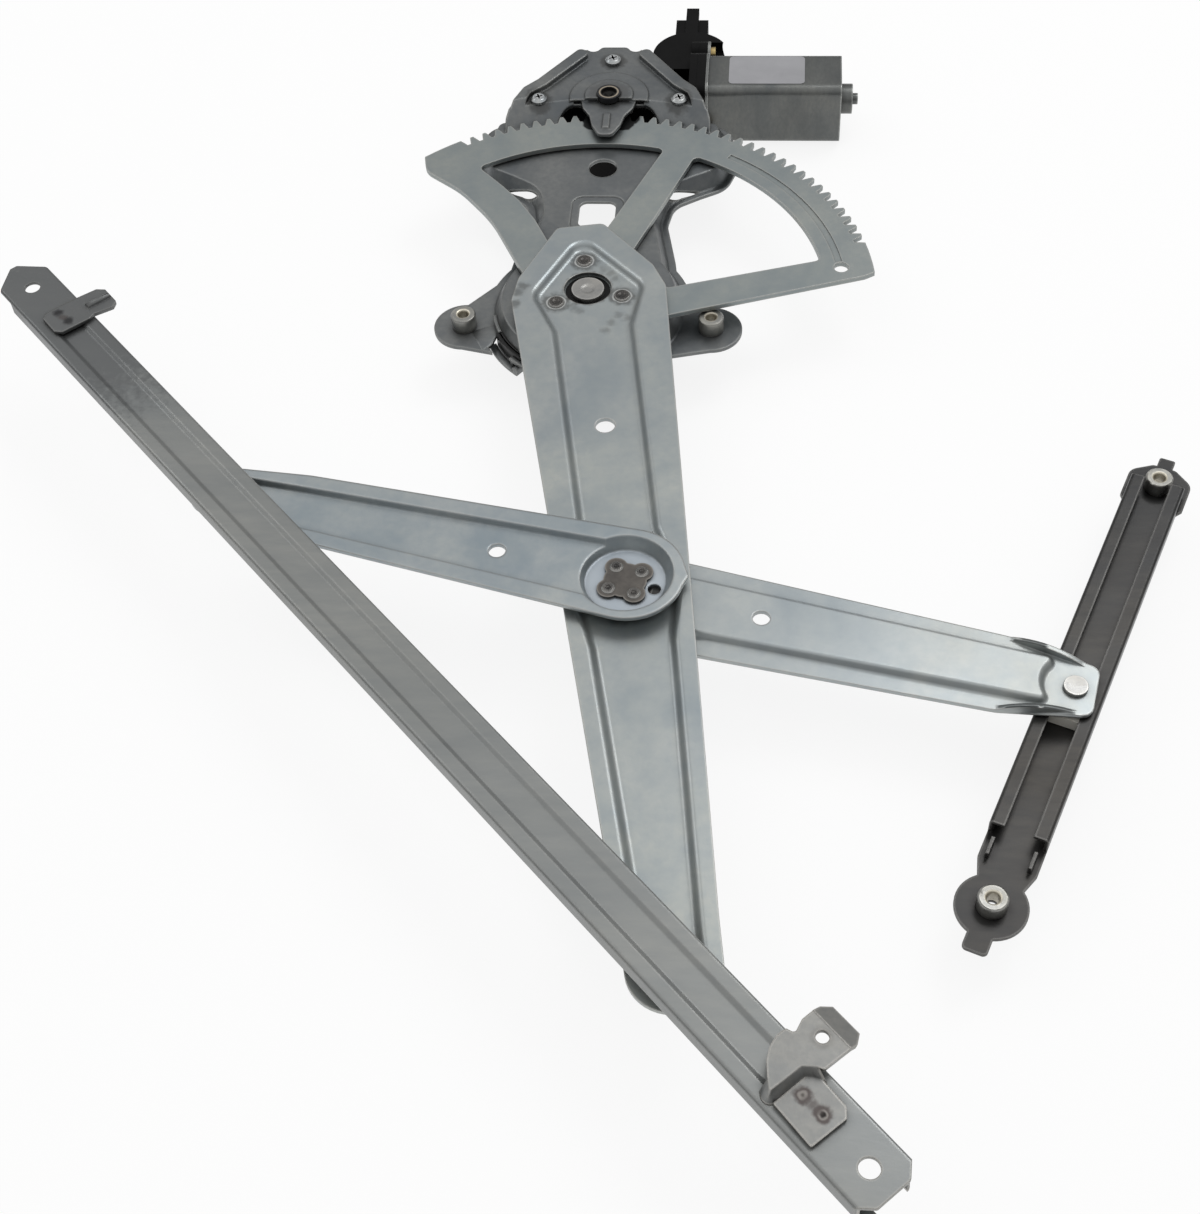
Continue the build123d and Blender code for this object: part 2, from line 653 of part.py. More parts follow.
def base_plate():
    """The pressed base plate: a low hourglass body with two ears, and a raised plateau for the motor."""
    cup = Pos(*pivot) * Circle(cup_r)
    top = up_plate(body_half, body_half_r) + cup
    run = plate_front * math.tan(math.radians(wall_taper))
    skirt = offset(top, run + flange_width)
    ears = Sketch()
    for side in (-1, 1):
        x = side * ear_spacing / 2
        ears += Pos(x, 0) * Circle(ear_round_r)
        root = side * 30
        ears += make_face(Polyline((x, -ear_round_r), (x, ear_round_r), (root, 50), (root, -22), close=True))
    block, hollow = dome(top, 0, plate_front, plate_t)
    body = plate(skirt + ears, 0, plate_t) + block
    high = up_plate(plateau_half, plateau_half_r)
    reach = plateau_front + rib_rise + 2.0
    before, within = apron(0.0), apron(apron_wall)
    raised = plate(high, plate_rise, plateau_front - plate_rise) - before
    under = plate(offset(high, -plate_t), 0, plateau_rise) - within
    body = body - hollow + raised - under
    for side in (-1, 1):
        ridge = outline([(side * w, y) for y, w in rib_half][::side], 3.0)
        crest = plate(ridge, plateau_rise, rib_rise + plate_t) - before
        groove = plate(offset(ridge, -plate_t), plateau_rise - 1, rib_rise + 1) - within
        body = body + crest - groove
    body -= disc(housing_r + 1.2, -1, plate_rise - 0.2, *drive_at)
    for radius, rise in boss_rings:
        body += extrude(Pos(*drive_at, plateau_front) * Circle(radius), rise, taper=30)
        body -= disc(radius - 2.4, plateau_rise - 0.2, rise + 0.2, *drive_at)
    middle = (opening_low + opening_high) / 2
    tall = opening_high - opening_low
    arch = Pos(0, middle - 10) * RectangleRounded(2 * opening_half, tall + 20, opening_r)
    arch &= Pos(0, middle) * Rectangle(80, tall)
    body -= plate(arch, -1, reach)
    body -= disc(pinion_tip + 1.0, plate_rise, plateau_rise - plate_rise, *drive_at)
    body += plate(up_plate(nose_half, nose_half_r), plateau_rise, plate_t)
    body += Pos(0, 140.5, plateau_front) * extrude(Rectangle(4.2, 13), 1.2, taper=20)
    body -= disc(tip_bush_r, 0, 30, *drive_at)
    frame = Pos(*window_centre) * RectangleRounded(window_size[0] + 8, window_size[1] + 8, 6)
    hole = Pos(*window_centre) * RectangleRounded(*window_size, 4)
    body -= plate(frame, plate_front - 0.6, 2)
    body -= plate(hole, -1, plate_front + 2)
    body -= disc(light_hole_r, -1, plate_front + 2, *light_hole)
    body -= disc(bush_hole_r, -1, plate_front + 2, *pivot)
    for x, y in screw_spots:
        body -= disc(screw_hole_r, plate_rise, 12, x, y)
    for side in (-1, 1):
        body -= disc(thread_r, -1, 4, side * ear_spacing / 2)
    gap = Rot(0, 0, spring_angle - 12.7) * Pos(cup_r + 3, 0, 1.5) * Box(18, 24, 6)
    body -= Pos(*pivot) * gap
    tab = slab(*tab_r, spring_t / 2 + side_gap, spring_t / 2 + side_gap + plate_t, spring_low, plate_t)
    body += spot(*pivot, 0, spring_angle) * tab
    return body


def balance_spring():
    """The flat spiral spring that carries the weight of the glass."""
    coil = Sketch()
    for k in range(spring_half_turns):
        radius = spring_start + k * spring_pitch / 2
        band = Circle(radius + spring_t / 2) - Circle(radius - spring_t / 2)
        side = 1 if k % 2 == 0 else -1
        middle = 0 if k % 2 == 0 else spring_pitch / 2
        coil += Pos(middle, 0) * (band & Pos(0, side * 50) * Rectangle(200, 100))
    coil += Pos(spring_start / 2, 0) * Rectangle(spring_start, spring_t)
    coil += Pos(spring_end + 1.6, 0) * Rectangle(4.4, spring_t)
    return spot(*pivot, 0, spring_angle) * plate(coil, spring_low, spring_high - spring_low)


def pivot_bush():
    """The flanged bush that the pivot shaft turns in."""
    body = disc(bush_hole_r, 4.4, plate_front - 4.4) + disc(14.0, plate_front, layer_gap - 0.1)
    return spot(*pivot) * (body - disc(shaft_r + running, 0, 20))


def pivot_shaft():
    """The pivot shaft: staked in the sector in front, slotted for the spring's inner end behind."""
    low = spring_low - 0.4
    body = disc(shaft_r, low, sector_z - low) + disc(shaft_seat_r, sector_z, sector_t)
    body += Pos(0, 0, lift_z) * Cone(8.4, 7.9, 1.9, align=upright)
    body -= Pos(0, 0, lift_z + 1.2) * Cone(1.8, 4.4, 0.8, align=upright)
    half = spring_slot / 2
    slot = slab(-shaft_r - 1, shaft_r + 1, -half, half, spring_low - 1, spring_high + 0.2)
    return spot(*pivot, 0, spring_angle) * (body - slot)


def pivot_clip():
    """The retaining ring that keeps the shaft in its bush."""
    return ring(9.6, shaft_r, spring_high + 0.3, 0.8, *pivot)


def ear_nuts():
    """The two weld nuts on the ears."""
    spots = (-ear_spacing / 2, ear_spacing / 2)
    return [weld_nut(ear_nut_r, thread_r, ear_nut_height, plate_t, x, 0) for x in spots]


def shaft_bush():
    """The collar in the plateau's boss that steadies the drive shaft's tip."""
    low = plateau_rise + boss_rings[1][1] - 0.2
    return ring(tip_bush_r, drive_tip_r + running, low, 3.2, *drive_at)


def motor_screws():
    """Three pan-head screws through the plateau into the gear housing's posts."""
    solids = []
    for x, y in screw_spots:
        head = disc(screw_head_r, plateau_front, screw_head - 1.2, x, y)
        crown = Cone(screw_head_r, screw_head_r - 1.5, 1.2, align=upright)
        head += Pos(x, y, plateau_front + screw_head - 1.2) * crown
        for turn in (0, 90):
            head -= Pos(x, y, plateau_front + screw_head) * Rot(0, 0, turn + 20) * Box(4.4, 1.0, 2.4)
        solids.append(head + disc(screw_r, housing_front, plateau_front - housing_front, x, y))
    return solids


def rod(radius, x0, x1, y=None, z=None):
    """A cylinder along X, on the motor's axis unless it is placed elsewhere."""
    y = motor_y if y is None else y
    z = wheel_z if z is None else z
    return Pos((x0 + x1) / 2, y, z) * Rot(0, 90, 0) * Cylinder(radius, x1 - x0)


def motor_block(x0, x1, grow=0.0):
    """A rounded square bar along X with the can's section."""
    face = RectangleRounded(can_height + 2 * grow, can_width + 2 * grow, can_corner + grow)
    return Pos(x0, motor_y, wheel_z) * Rot(0, 90, 0) * extrude(face, x1 - x0)


motor_ears = [(motor_y + 28.5, wheel_z + 9.0), (motor_y - 23.5, wheel_z - 8.0)]
ear_r = 6.5
brush_from = 45.5
brush_to = can_from
connector_x = (31.5, 49.5)
connector_y = (236.0, 253.0)
connector_z = (-8.0, 4.0)
connector_wall = 2.0
connector_floor = 241.0
brush_dome = (41.0, 217.5)
brush_dome_r = 21.0


def motor_flange(x0, x1):
    """The flange plate between the gearbox and the motor, with an ear at each screw."""
    body = motor_block(x0, x1, 1.5)
    for y, z in motor_ears:
        body += rod(ear_r, x0, x1, y, z)
        body += Pos((x0 + x1) / 2, (y + motor_y) / 2, (z + wheel_z) / 2) * Box(x1 - x0, abs(y - motor_y), 10)
    return body


def gear_housing():
    """The moulded gear housing: a wheel drum, a worm tunnel, three screw posts and the motor's flange."""
    x, y = drive_at
    body = disc(housing_r, housing_rear, housing_front - housing_rear, x, y)
    body += rod(9.5, -27, brush_from)
    body += motor_flange(brush_from - 4, brush_from)
    for px, py in screw_spots:
        body += disc(post_r, 0, plateau_rise, px, py) - apron(apron_wall + 0.3)
        turn = math.degrees(math.atan2(py - y, px - x))
        arm = Box(math.hypot(px - x, py - y), 2 * post_r, housing_front)
        body += spot((px + x) / 2, (py + y) / 2, housing_front / 2, turn) * arm
    body += disc(10.5, housing_front, pinion_low - 0.4 - housing_front, x, y)
    body -= disc(housing_r - housing_wall, housing_rear - 1, housing_front - 4.4 - housing_rear, x, y)
    body -= rod(6.5, -24.5, brush_from + 1)
    body -= disc(drive_shaft_r + running, housing_rear, 40, x, y)
    for px, py in screw_spots:
        body -= disc(screw_r, housing_front, 20, px, py)
    for ey, ez in motor_ears:
        body -= rod(screw_r, brush_from - 5, brush_from + 1, ey, ez)
    return body


def housing_cover():
    """The round rear cover of the wheel drum, with a raised centre."""
    x, y = drive_at
    body = disc(housing_r, housing_rear - 2.6, 2.0, x, y)
    body += extrude(Pos(x, y, housing_rear - 2.6) * Circle(18), -1.6, taper=30)
    return body


def cover_seal():
    """The flat ring seal under the rear cover."""
    return ring(housing_r - 0.4, housing_r - housing_wall + 0.2, housing_rear - 0.6, 0.6, *drive_at)


def worm_wheel():
    """The moulded worm wheel; its teeth are drawn just clear of the worm's thread."""
    depth = 2.0
    tooth = make_face(Polyline((wheel_r - depth, -1.15), (wheel_r, -0.55), (wheel_r, 0.55), (wheel_r - depth, 1.15),
                               (wheel_r - depth - 1, 0), close=True))
    face = Circle(wheel_r - depth) + [Rot(0, 0, k * 360 / wheel_teeth) * tooth for k in range(wheel_teeth)]
    face -= Circle(rubber_r)
    return plate(Pos(*drive_at) * face, wheel_z - wheel_t / 2, wheel_t)


def drive_rubber():
    """The rubber ring that cushions the drive between the wheel and the shaft."""
    return ring(rubber_r, drive_shaft_r, wheel_z - wheel_t / 2, wheel_t, *drive_at)


def output_shaft():
    """The drive shaft, with a reduced tip that runs in the plateau's collar."""
    low = housing_rear + 0.4
    body = disc(drive_shaft_r, low, pinion_high - low) + disc(drive_tip_r, pinion_high, 5.4)
    body -= Pos(0, 0, pinion_high + 3.4) * Cone(0.8, 2.6, 2.1, align=upright)
    return spot(*drive_at) * body


def pinion():
    """The nine-tooth pinion, one tooth pointing at the sector's middle gap."""
    root = module * (pinion_teeth / 2 - 1.25 + tooth_shift)
    face = Circle(pinion_tip)
    gap = tooth_gap(pinion_teeth, tooth_shift, pinion_tip, root)
    face -= [Rot(0, 0, -90 + (k + 0.5) * 360 / pinion_teeth) * gap for k in range(pinion_teeth)]
    face -= Circle(drive_shaft_r)
    return plate(Pos(*drive_at) * face, pinion_low, pinion_high - pinion_low)


def worm_bearing():
    """The bush that carries the armature shaft at the gearbox end."""
    return rod(6.5, 38, 44) - rod(armature_r + running, 37, 45)


def armature_shaft():
    """The motor's shaft with its worm."""
    body = rod(armature_r, -22, can_to - 0.6)
    pitch = math.pi
    turns = int(2 * worm_half / pitch)
    for k in range(turns):
        x = -worm_half + (k + 0.5) * pitch
        crest = Pos(x, motor_y, wheel_z) * Rot(0, 90, 0)
        body += crest * Cone(worm_r, armature_r, 0.9, align=upright)
        body += crest * Rot(180, 0, 0) * Cone(worm_r, armature_r, 0.9, align=upright)
    return body


def armature_core():
    """The laminated core, with eight slots for the windings."""
    body = rod(11.6, 74, 104)
    for k in range(8):
        slot = Pos(89, 0, 0) * Rot(k * 45, 0, 0) * Pos(0, 0, 9.6) * Box(32, 2.6, 6)
        body -= Pos(0, motor_y, wheel_z) * slot
    return body - rod(armature_r, 70, 110)


def armature_windings():
    """The copper end turns at both ends of the core."""
    solids = []
    for x0, x1 in ((68.5, 74), (104, 109.5)):
        solids.append(rod(10.0, x0, x1) - rod(armature_r, x0 - 1, x1 + 1))
    return solids


def commutator():
    """The copper commutator, drawn as one plain ring."""
    return rod(6.6, 57, 67) - rod(armature_r, 56, 68)


def brush_housing():
    """The moulded block between gearbox and motor, with its round hood and the connector socket."""
    body = motor_flange(brush_from, brush_to - 1.6)
    hood = disc(brush_dome_r, -14, 20, *brush_dome)
    hood -= slab(-100, 200, 100, motor_y + 10.2, -50, 50)
    hood -= motor_block(brush_to - 1.6, 100, 0.4)
    hood -= motor_flange(brush_to - 1.6, brush_to)
    hood -= motor_flange(brush_from - 4, brush_from)
    hood -= rod(ear_r + 0.4, brush_to, 80, *motor_ears[0])
    body += hood
    socket = slab(*connector_x, *connector_y, *connector_z)
    wall = connector_wall
    socket -= slab(connector_x[0] + wall, connector_x[1] - wall, connector_floor, connector_y[1] + 1,
                   connector_z[0] + wall, connector_z[1] - wall)
    latch = slab(37, 44, connector_y[0] - 3, connector_y[1] + 8.5, connector_z[1] - wall, connector_z[1] + 2)
    body = body + socket + latch
    body -= rod(8.2, brush_from - 1, brush_to + 1)
    for y, z in motor_ears:
        body -= rod(screw_r, brush_from - 1, brush_to + 1, y, z)
    for x in (36.4, 42.6):
        body -= slab(x, x + 2, 237, 243, -2.6, -1.4)
    return body


def connector_terminals():
    """The two blade terminals of the connector."""
    return [slab(x, x + 2, 237, 249.5, -2.6, -1.4) for x in (36.4, 42.6)]


def motor_can():
    """The drawn steel can: rounded square, flanged at the gearbox end, with a bearing cup at the other."""
    body = motor_block(can_from - 1.6, can_to)
    body += motor_flange(can_from - 1.6, can_from)
    body -= motor_block(can_from - 2, can_to - can_wall, -can_wall)
    body += rod(8.0, can_to - 1, can_to + 6.4) + rod(3.0, can_to + 6, can_to + 9.4)
    body -= rod(6.2, can_to - can_wall - 1, can_to + 4.6)
    for y, z in motor_ears:
        body -= rod(screw_r, can_from - 3, can_from + 2, y, z)
    return body


def end_bearing():
    """The sintered bush in the can's end cup."""
    return rod(6.2, can_to - 1.4, can_to + 4.4) - rod(armature_r + running, can_to - 2, can_to + 5)


def magnets():
    """The two arc magnets inside the can."""
    shell = rod(15.6, 71, 107) - rod(12.6, 70, 108)
    solids = []
    for side in (-1, 1):
        keep = Pos(89, motor_y, wheel_z + side * 14) * Box(40, 23, 14)
        solids.append(shell & keep)
    return solids


def brush_holder():
    """The insulating plate that holds the carbon brushes."""
    return motor_block(can_from + 0.4, can_from + 3.4, -can_wall - 0.2) - rod(8.2, can_from, can_from + 5)


def carbon_brushes():
    """The two carbon brushes on the commutator."""
    solids = []
    for side in (-1, 1):
        block = Pos(61, motor_y + side * 9.4, wheel_z) * Box(7, 5, 5)
        solids.append(block - rod(6.6 + running, 50, 70))
    return solids


def can_screws():
    """The two brass-coloured screws through the motor's ears."""
    solids = []
    for y, z in motor_ears:
        shank = rod(screw_r, brush_from - 3.6, can_from, y, z)
        solids.append(shank + rod(3.6, can_from, can_from + 2.6, y, z))
    return solids


def can_label():
    """The bare label on the can's front face."""
    top = wheel_z + can_height / 2
    return Pos(83.5, motor_y + 0.5, top) * extrude(RectangleRounded(41, 24.6, 1.5), 0.2)


channel_shoe_width = channel_width - 2 * channel_t - 2 * side_gap
rail_shoe_width = rail_width - 2 * rail_t - 2 * side_gap
channel_shoe = shoe(shoe_length, channel_shoe_width, shoe_corner, shoe_low, shoe_high)
rail_shoe = shoe(rail_shoe_length, rail_shoe_width, shoe_corner, rail_shoe_low, rail_shoe_high)

save("sector_gear", sector_gear())
save("lift_arm", lift_arm())
save("sector_rivets", *sector_rivets())
save("lift_pin", channel_pin(lift_end, lift_z, lift_flange_z + arm_t))
save("front_arm", front_arm())
save("rear_arm", rear_arm())
save("hub", hub())
save("hub_plate", hub_plate())
save("hub_rivets", *hub_rivets())
save("cross_washers", *cross_washers())
save("front_pin", channel_pin(front_end, front_z, front_flange_z + arm_t))
save("guide_pin", guide_pin())
save("lift_shoe", spot(*lift_end, 0, channel_angle) * channel_shoe)
save("front_shoe", spot(*front_end, 0, channel_angle) * channel_shoe)
save("guide_shoe", spot(*guide_end, 0, rail_angle) * rail_shoe)
save("glass_channel", glass_channel())
save("left_bracket", left_bracket())
save("right_bracket", right_bracket())
save("guide_rail", guide_rail())
save("rail_nuts", *rail_nuts())

save("base_plate", base_plate())
save("ear_nuts", *ear_nuts())
save("pivot_bush", pivot_bush())
save("pivot_shaft", pivot_shaft())
save("pivot_clip", pivot_clip())
save("balance_spring", balance_spring())
save("shaft_bush", shaft_bush())
save("motor_screws", *motor_screws())
save("gear_housing", gear_housing())
save("housing_cover", housing_cover())
save("cover_seal", cover_seal())
save("worm_wheel", worm_wheel())
save("drive_rubber", drive_rubber())
save("output_shaft", output_shaft())
save("pinion", pinion())
save("worm_bearing", worm_bearing())
save("armature_shaft", armature_shaft())
save("armature_core", armature_core())
save("armature_windings", *armature_windings())
save("commutator", commutator())
save("brush_housing", brush_housing())
save("connector_terminals", *connector_terminals())
save("motor_can", motor_can())
save("end_bearing", end_bearing())
save("magnets", *magnets())
save("brush_holder", brush_holder())
save("carbon_brushes", *carbon_brushes())
save("can_screws", *can_screws())
save("can_label", can_label())
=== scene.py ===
"""Looks of the power window regulator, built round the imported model.

The file follows the regulator as it is put together: the base plate and its ear, the small turned parts, the
bushes, the spring and the plastics, the motor, the toothed sector with the lift arm, the two halves of the
crossing arm, the glass channel and the guide rail. The studio and the camera come last.
"""

import math

import bmesh
import bpy
from mathutils import Matrix, Vector
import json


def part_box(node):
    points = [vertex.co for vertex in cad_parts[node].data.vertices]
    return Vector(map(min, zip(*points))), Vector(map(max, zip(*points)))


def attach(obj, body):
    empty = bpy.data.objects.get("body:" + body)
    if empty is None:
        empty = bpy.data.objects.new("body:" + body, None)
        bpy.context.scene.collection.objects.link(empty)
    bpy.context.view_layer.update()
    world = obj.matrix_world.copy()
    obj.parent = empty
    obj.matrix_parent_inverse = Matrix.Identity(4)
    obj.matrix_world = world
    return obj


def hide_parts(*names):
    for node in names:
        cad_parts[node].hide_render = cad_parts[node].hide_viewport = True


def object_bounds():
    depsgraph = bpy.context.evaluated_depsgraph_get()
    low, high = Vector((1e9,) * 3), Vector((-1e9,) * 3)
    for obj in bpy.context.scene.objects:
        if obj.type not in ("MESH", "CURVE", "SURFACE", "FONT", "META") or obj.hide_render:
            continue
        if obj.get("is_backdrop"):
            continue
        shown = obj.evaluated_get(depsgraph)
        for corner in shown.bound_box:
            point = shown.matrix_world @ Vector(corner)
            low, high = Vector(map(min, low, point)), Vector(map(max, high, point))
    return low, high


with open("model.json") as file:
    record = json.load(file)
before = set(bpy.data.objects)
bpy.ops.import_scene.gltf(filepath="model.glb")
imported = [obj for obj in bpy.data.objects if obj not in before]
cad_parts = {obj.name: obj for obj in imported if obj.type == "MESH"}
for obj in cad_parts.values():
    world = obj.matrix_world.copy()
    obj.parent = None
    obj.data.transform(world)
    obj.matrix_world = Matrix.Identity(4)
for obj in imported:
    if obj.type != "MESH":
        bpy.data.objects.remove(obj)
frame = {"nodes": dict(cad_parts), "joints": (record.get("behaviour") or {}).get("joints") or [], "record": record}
cad_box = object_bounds()
nodes = frame["nodes"]


# Base plate. The real one is a deep pressing in grey galvanised sheet, with rolled bends and blanked rims.
# Here it keeps its CAD mesh. The finish rounds its bends, and is a smoky, slightly cloudy zinc.
def paint(piece, material):
    """Gives a piece or a CAD node one material all over."""
    piece.data.materials.clear()
    piece.data.materials.append(material)


def cloud_group():
    """Soft clouds and fine grain on Object coordinates: the masks that every finish here uses."""
    group = bpy.data.node_groups.new("zinc clouds", "ShaderNodeTree")
    for name, value in (("Cloud size", 30.0), ("Grain size", 900.0)):
        socket = group.interface.new_socket(name, in_out="INPUT", socket_type="NodeSocketFloat")
        socket.default_value = value
    for name, value in (("Stretch", 1.0), ("Turn", 0.0)):
        socket = group.interface.new_socket(name, in_out="INPUT", socket_type="NodeSocketVector")
        socket.default_value = (value, value, value)
    for name in ("Cloud", "Bloom", "Speck", "Grain"):
        group.interface.new_socket(name, in_out="OUTPUT", socket_type="NodeSocketFloat")
    add, link = group.nodes.new, group.links.new
    ins, outs = add("NodeGroupInput"), add("NodeGroupOutput")
    place = add("ShaderNodeTexCoord")
    drawn = add("ShaderNodeMapping")
    link(place.outputs["Object"], drawn.inputs["Vector"])
    link(ins.outputs["Stretch"], drawn.inputs["Scale"])
    link(ins.outputs["Turn"], drawn.inputs["Rotation"])
    for out, factor, detail, rough, twist in (("Cloud", 1.0, 3.0, 0.55, 0.4), ("Bloom", 0.37, 4.0, 0.62, 1.1),
                                              ("Speck", 9.0, 3.0, 0.6, 0.2)):
        noise = add("ShaderNodeTexNoise")
        size = add("ShaderNodeMath")
        size.operation = "MULTIPLY"
        size.inputs[1].default_value = factor
        link(ins.outputs["Cloud size"], size.inputs[0])
        link(size.outputs[0], noise.inputs["Scale"])
        link(drawn.outputs[0], noise.inputs["Vector"])
        noise.inputs["Detail"].default_value = detail
        noise.inputs["Roughness"].default_value = rough
        noise.inputs["Distortion"].default_value = twist
        spread = add("ShaderNodeMapRange")
        spread.inputs["From Min"].default_value = 0.32
        spread.inputs["From Max"].default_value = 0.68
        link(noise.outputs["Fac"], spread.inputs["Value"])
        link(spread.outputs["Result"], outs.inputs[out])
    grain = add("ShaderNodeTexNoise")
    grain.inputs["Detail"].default_value = 2.0
    link(ins.outputs["Grain size"], grain.inputs["Scale"])
    link(drawn.outputs[0], grain.inputs["Vector"])
    link(grain.outputs["Fac"], outs.inputs["Grain"])
    return group


def soil_and_shade_group():
    """Soil and painted shade in corners, round rivets and where parts meet: a mask from ambient occlusion,
    broken up by noise. A second mask marks the rims.
    """
    group = bpy.data.node_groups.new("corner grime", "ShaderNodeTree")
    for name, value in (("Reach", 0.004), ("Amount", 0.7)):
        socket = group.interface.new_socket(name, in_out="INPUT", socket_type="NodeSocketFloat")
        socket.default_value = value
    for name in ("Mask", "Edge"):
        group.interface.new_socket(name, in_out="OUTPUT", socket_type="NodeSocketFloat")
    add, link = group.nodes.new, group.links.new
    ins, outs = add("NodeGroupInput"), add("NodeGroupOutput")
    # The occlusion darkens corners, recesses and the places where parts meet: painted shade, with some soil.
    corner = add("ShaderNodeAmbientOcclusion")
    corner.samples = 6
    link(ins.outputs["Reach"], corner.inputs["Distance"])
    place = add("ShaderNodeTexCoord")
    noise = add("ShaderNodeTexNoise")
    noise.inputs["Scale"].default_value = 160.0
    noise.inputs["Detail"].default_value = 4.0
    link(place.outputs["Object"], noise.inputs["Vector"])
    dark = add("ShaderNodeMapRange")
    dark.inputs["From Min"].default_value = 0.95
    dark.inputs["From Max"].default_value = 0.35
    link(corner.outputs["AO"], dark.inputs["Value"])
    broken = add("ShaderNodeMath")
    broken.operation = "MULTIPLY"
    link(dark.outputs["Result"], broken.inputs[0])
    link(noise.outputs["Fac"], broken.inputs[1])
    scaled = add("ShaderNodeMath")
    scaled.operation = "MULTIPLY"
    scaled.use_clamp = True
    link(broken.outputs[0], scaled.inputs[0])
    link(ins.outputs["Amount"], scaled.inputs[1])
    link(scaled.outputs[0], outs.inputs["Mask"])
    # The inside occlusion finds the rims; the finish lightens them, partly bare metal and partly a painted
    # highlight.
    rim = add("ShaderNodeAmbientOcclusion")
    rim.samples = 4
    rim.inside = True
    rim.only_local = True
    rim.inputs["Distance"].default_value = 0.0009
    bare_rim_and_highlight = add("ShaderNodeMapRange")
    bare_rim_and_highlight.inputs["From Min"].default_value = 0.93
    bare_rim_and_highlight.inputs["From Max"].default_value = 0.55
    link(rim.outputs["AO"], bare_rim_and_highlight.inputs["Value"])
    link(bare_rim_and_highlight.outputs["Result"], outs.inputs["Edge"])
    return group


clouds = cloud_group()
soil_and_shade = soil_and_shade_group()


def mixed(tree, mask, low, high):
    """A colour that goes from low to high as the mask goes from 0 to 1; each may be a colour or a socket."""
    mix = tree.nodes.new("ShaderNodeMix")
    mix.data_type = "RGBA"
    tree.links.new(mask, mix.inputs["Factor"])
    for socket, value in ((mix.inputs["A"], low), (mix.inputs["B"], high)):
        if isinstance(value, bpy.types.NodeSocket):
            tree.links.new(value, socket)
        else:
            socket.default_value = (*value, 1.0)
    return mix.outputs["Result"]


def ranged(tree, value, low, high):
    """A mask from 0 to 1 taken to the range from low to high."""
    spread = tree.nodes.new("ShaderNodeMapRange")
    spread.inputs["To Min"].default_value = low
    spread.inputs["To Max"].default_value = high
    tree.links.new(value, spread.inputs["Value"])
    return spread.outputs["Result"]


def spots(tree, places, inner, outer):
    """A mask that is 1 at each place (x, y in metres on the sheet) and fades out between the two radii."""
    where = tree.nodes.new("ShaderNodeTexCoord")
    flat = tree.nodes.new("ShaderNodeVectorMath")
    flat.operation = "MULTIPLY"
    flat.inputs[1].default_value = (1.0, 1.0, 0.0)
    tree.links.new(where.outputs["Object"], flat.inputs[0])
    raggedness = 1.6 * (outer - inner)
    ragged = tree.nodes.new("ShaderNodeTexNoise")
    ragged.inputs["Scale"].default_value = 320.0
    ragged.inputs["Detail"].default_value = 3.0
    tree.links.new(where.outputs["Object"], ragged.inputs["Vector"])
    strongest = None
    for x, y in places:
        away = tree.nodes.new("ShaderNodeVectorMath")
        away.operation = "DISTANCE"
        away.inputs[1].default_value = (x, y, 0.0)
        tree.links.new(flat.outputs[0], away.inputs[0])
        wander = tree.nodes.new("ShaderNodeMath")
        wander.operation = "MULTIPLY_ADD"
        wander.inputs[1].default_value = raggedness
        tree.links.new(ragged.outputs["Fac"], wander.inputs[0])
        tree.links.new(away.outputs["Value"], wander.inputs[2])
        fade = tree.nodes.new("ShaderNodeMapRange")
        fade.interpolation_type = "SMOOTHSTEP"
        fade.inputs["From Min"].default_value = inner + raggedness / 2.0
        fade.inputs["From Max"].default_value = outer + raggedness / 2.0
        fade.inputs["To Min"].default_value = 1.0
        fade.inputs["To Max"].default_value = 0.0
        tree.links.new(wander.outputs[0], fade.inputs["Value"])
        if strongest is None:
            strongest = fade.outputs["Result"]
        else:
            higher = tree.nodes.new("ShaderNodeMath")
            higher.operation = "MAXIMUM"
            tree.links.new(strongest, higher.inputs[0])
            tree.links.new(fade.outputs["Result"], higher.inputs[1])
            strongest = higher.outputs[0]
    return strongest


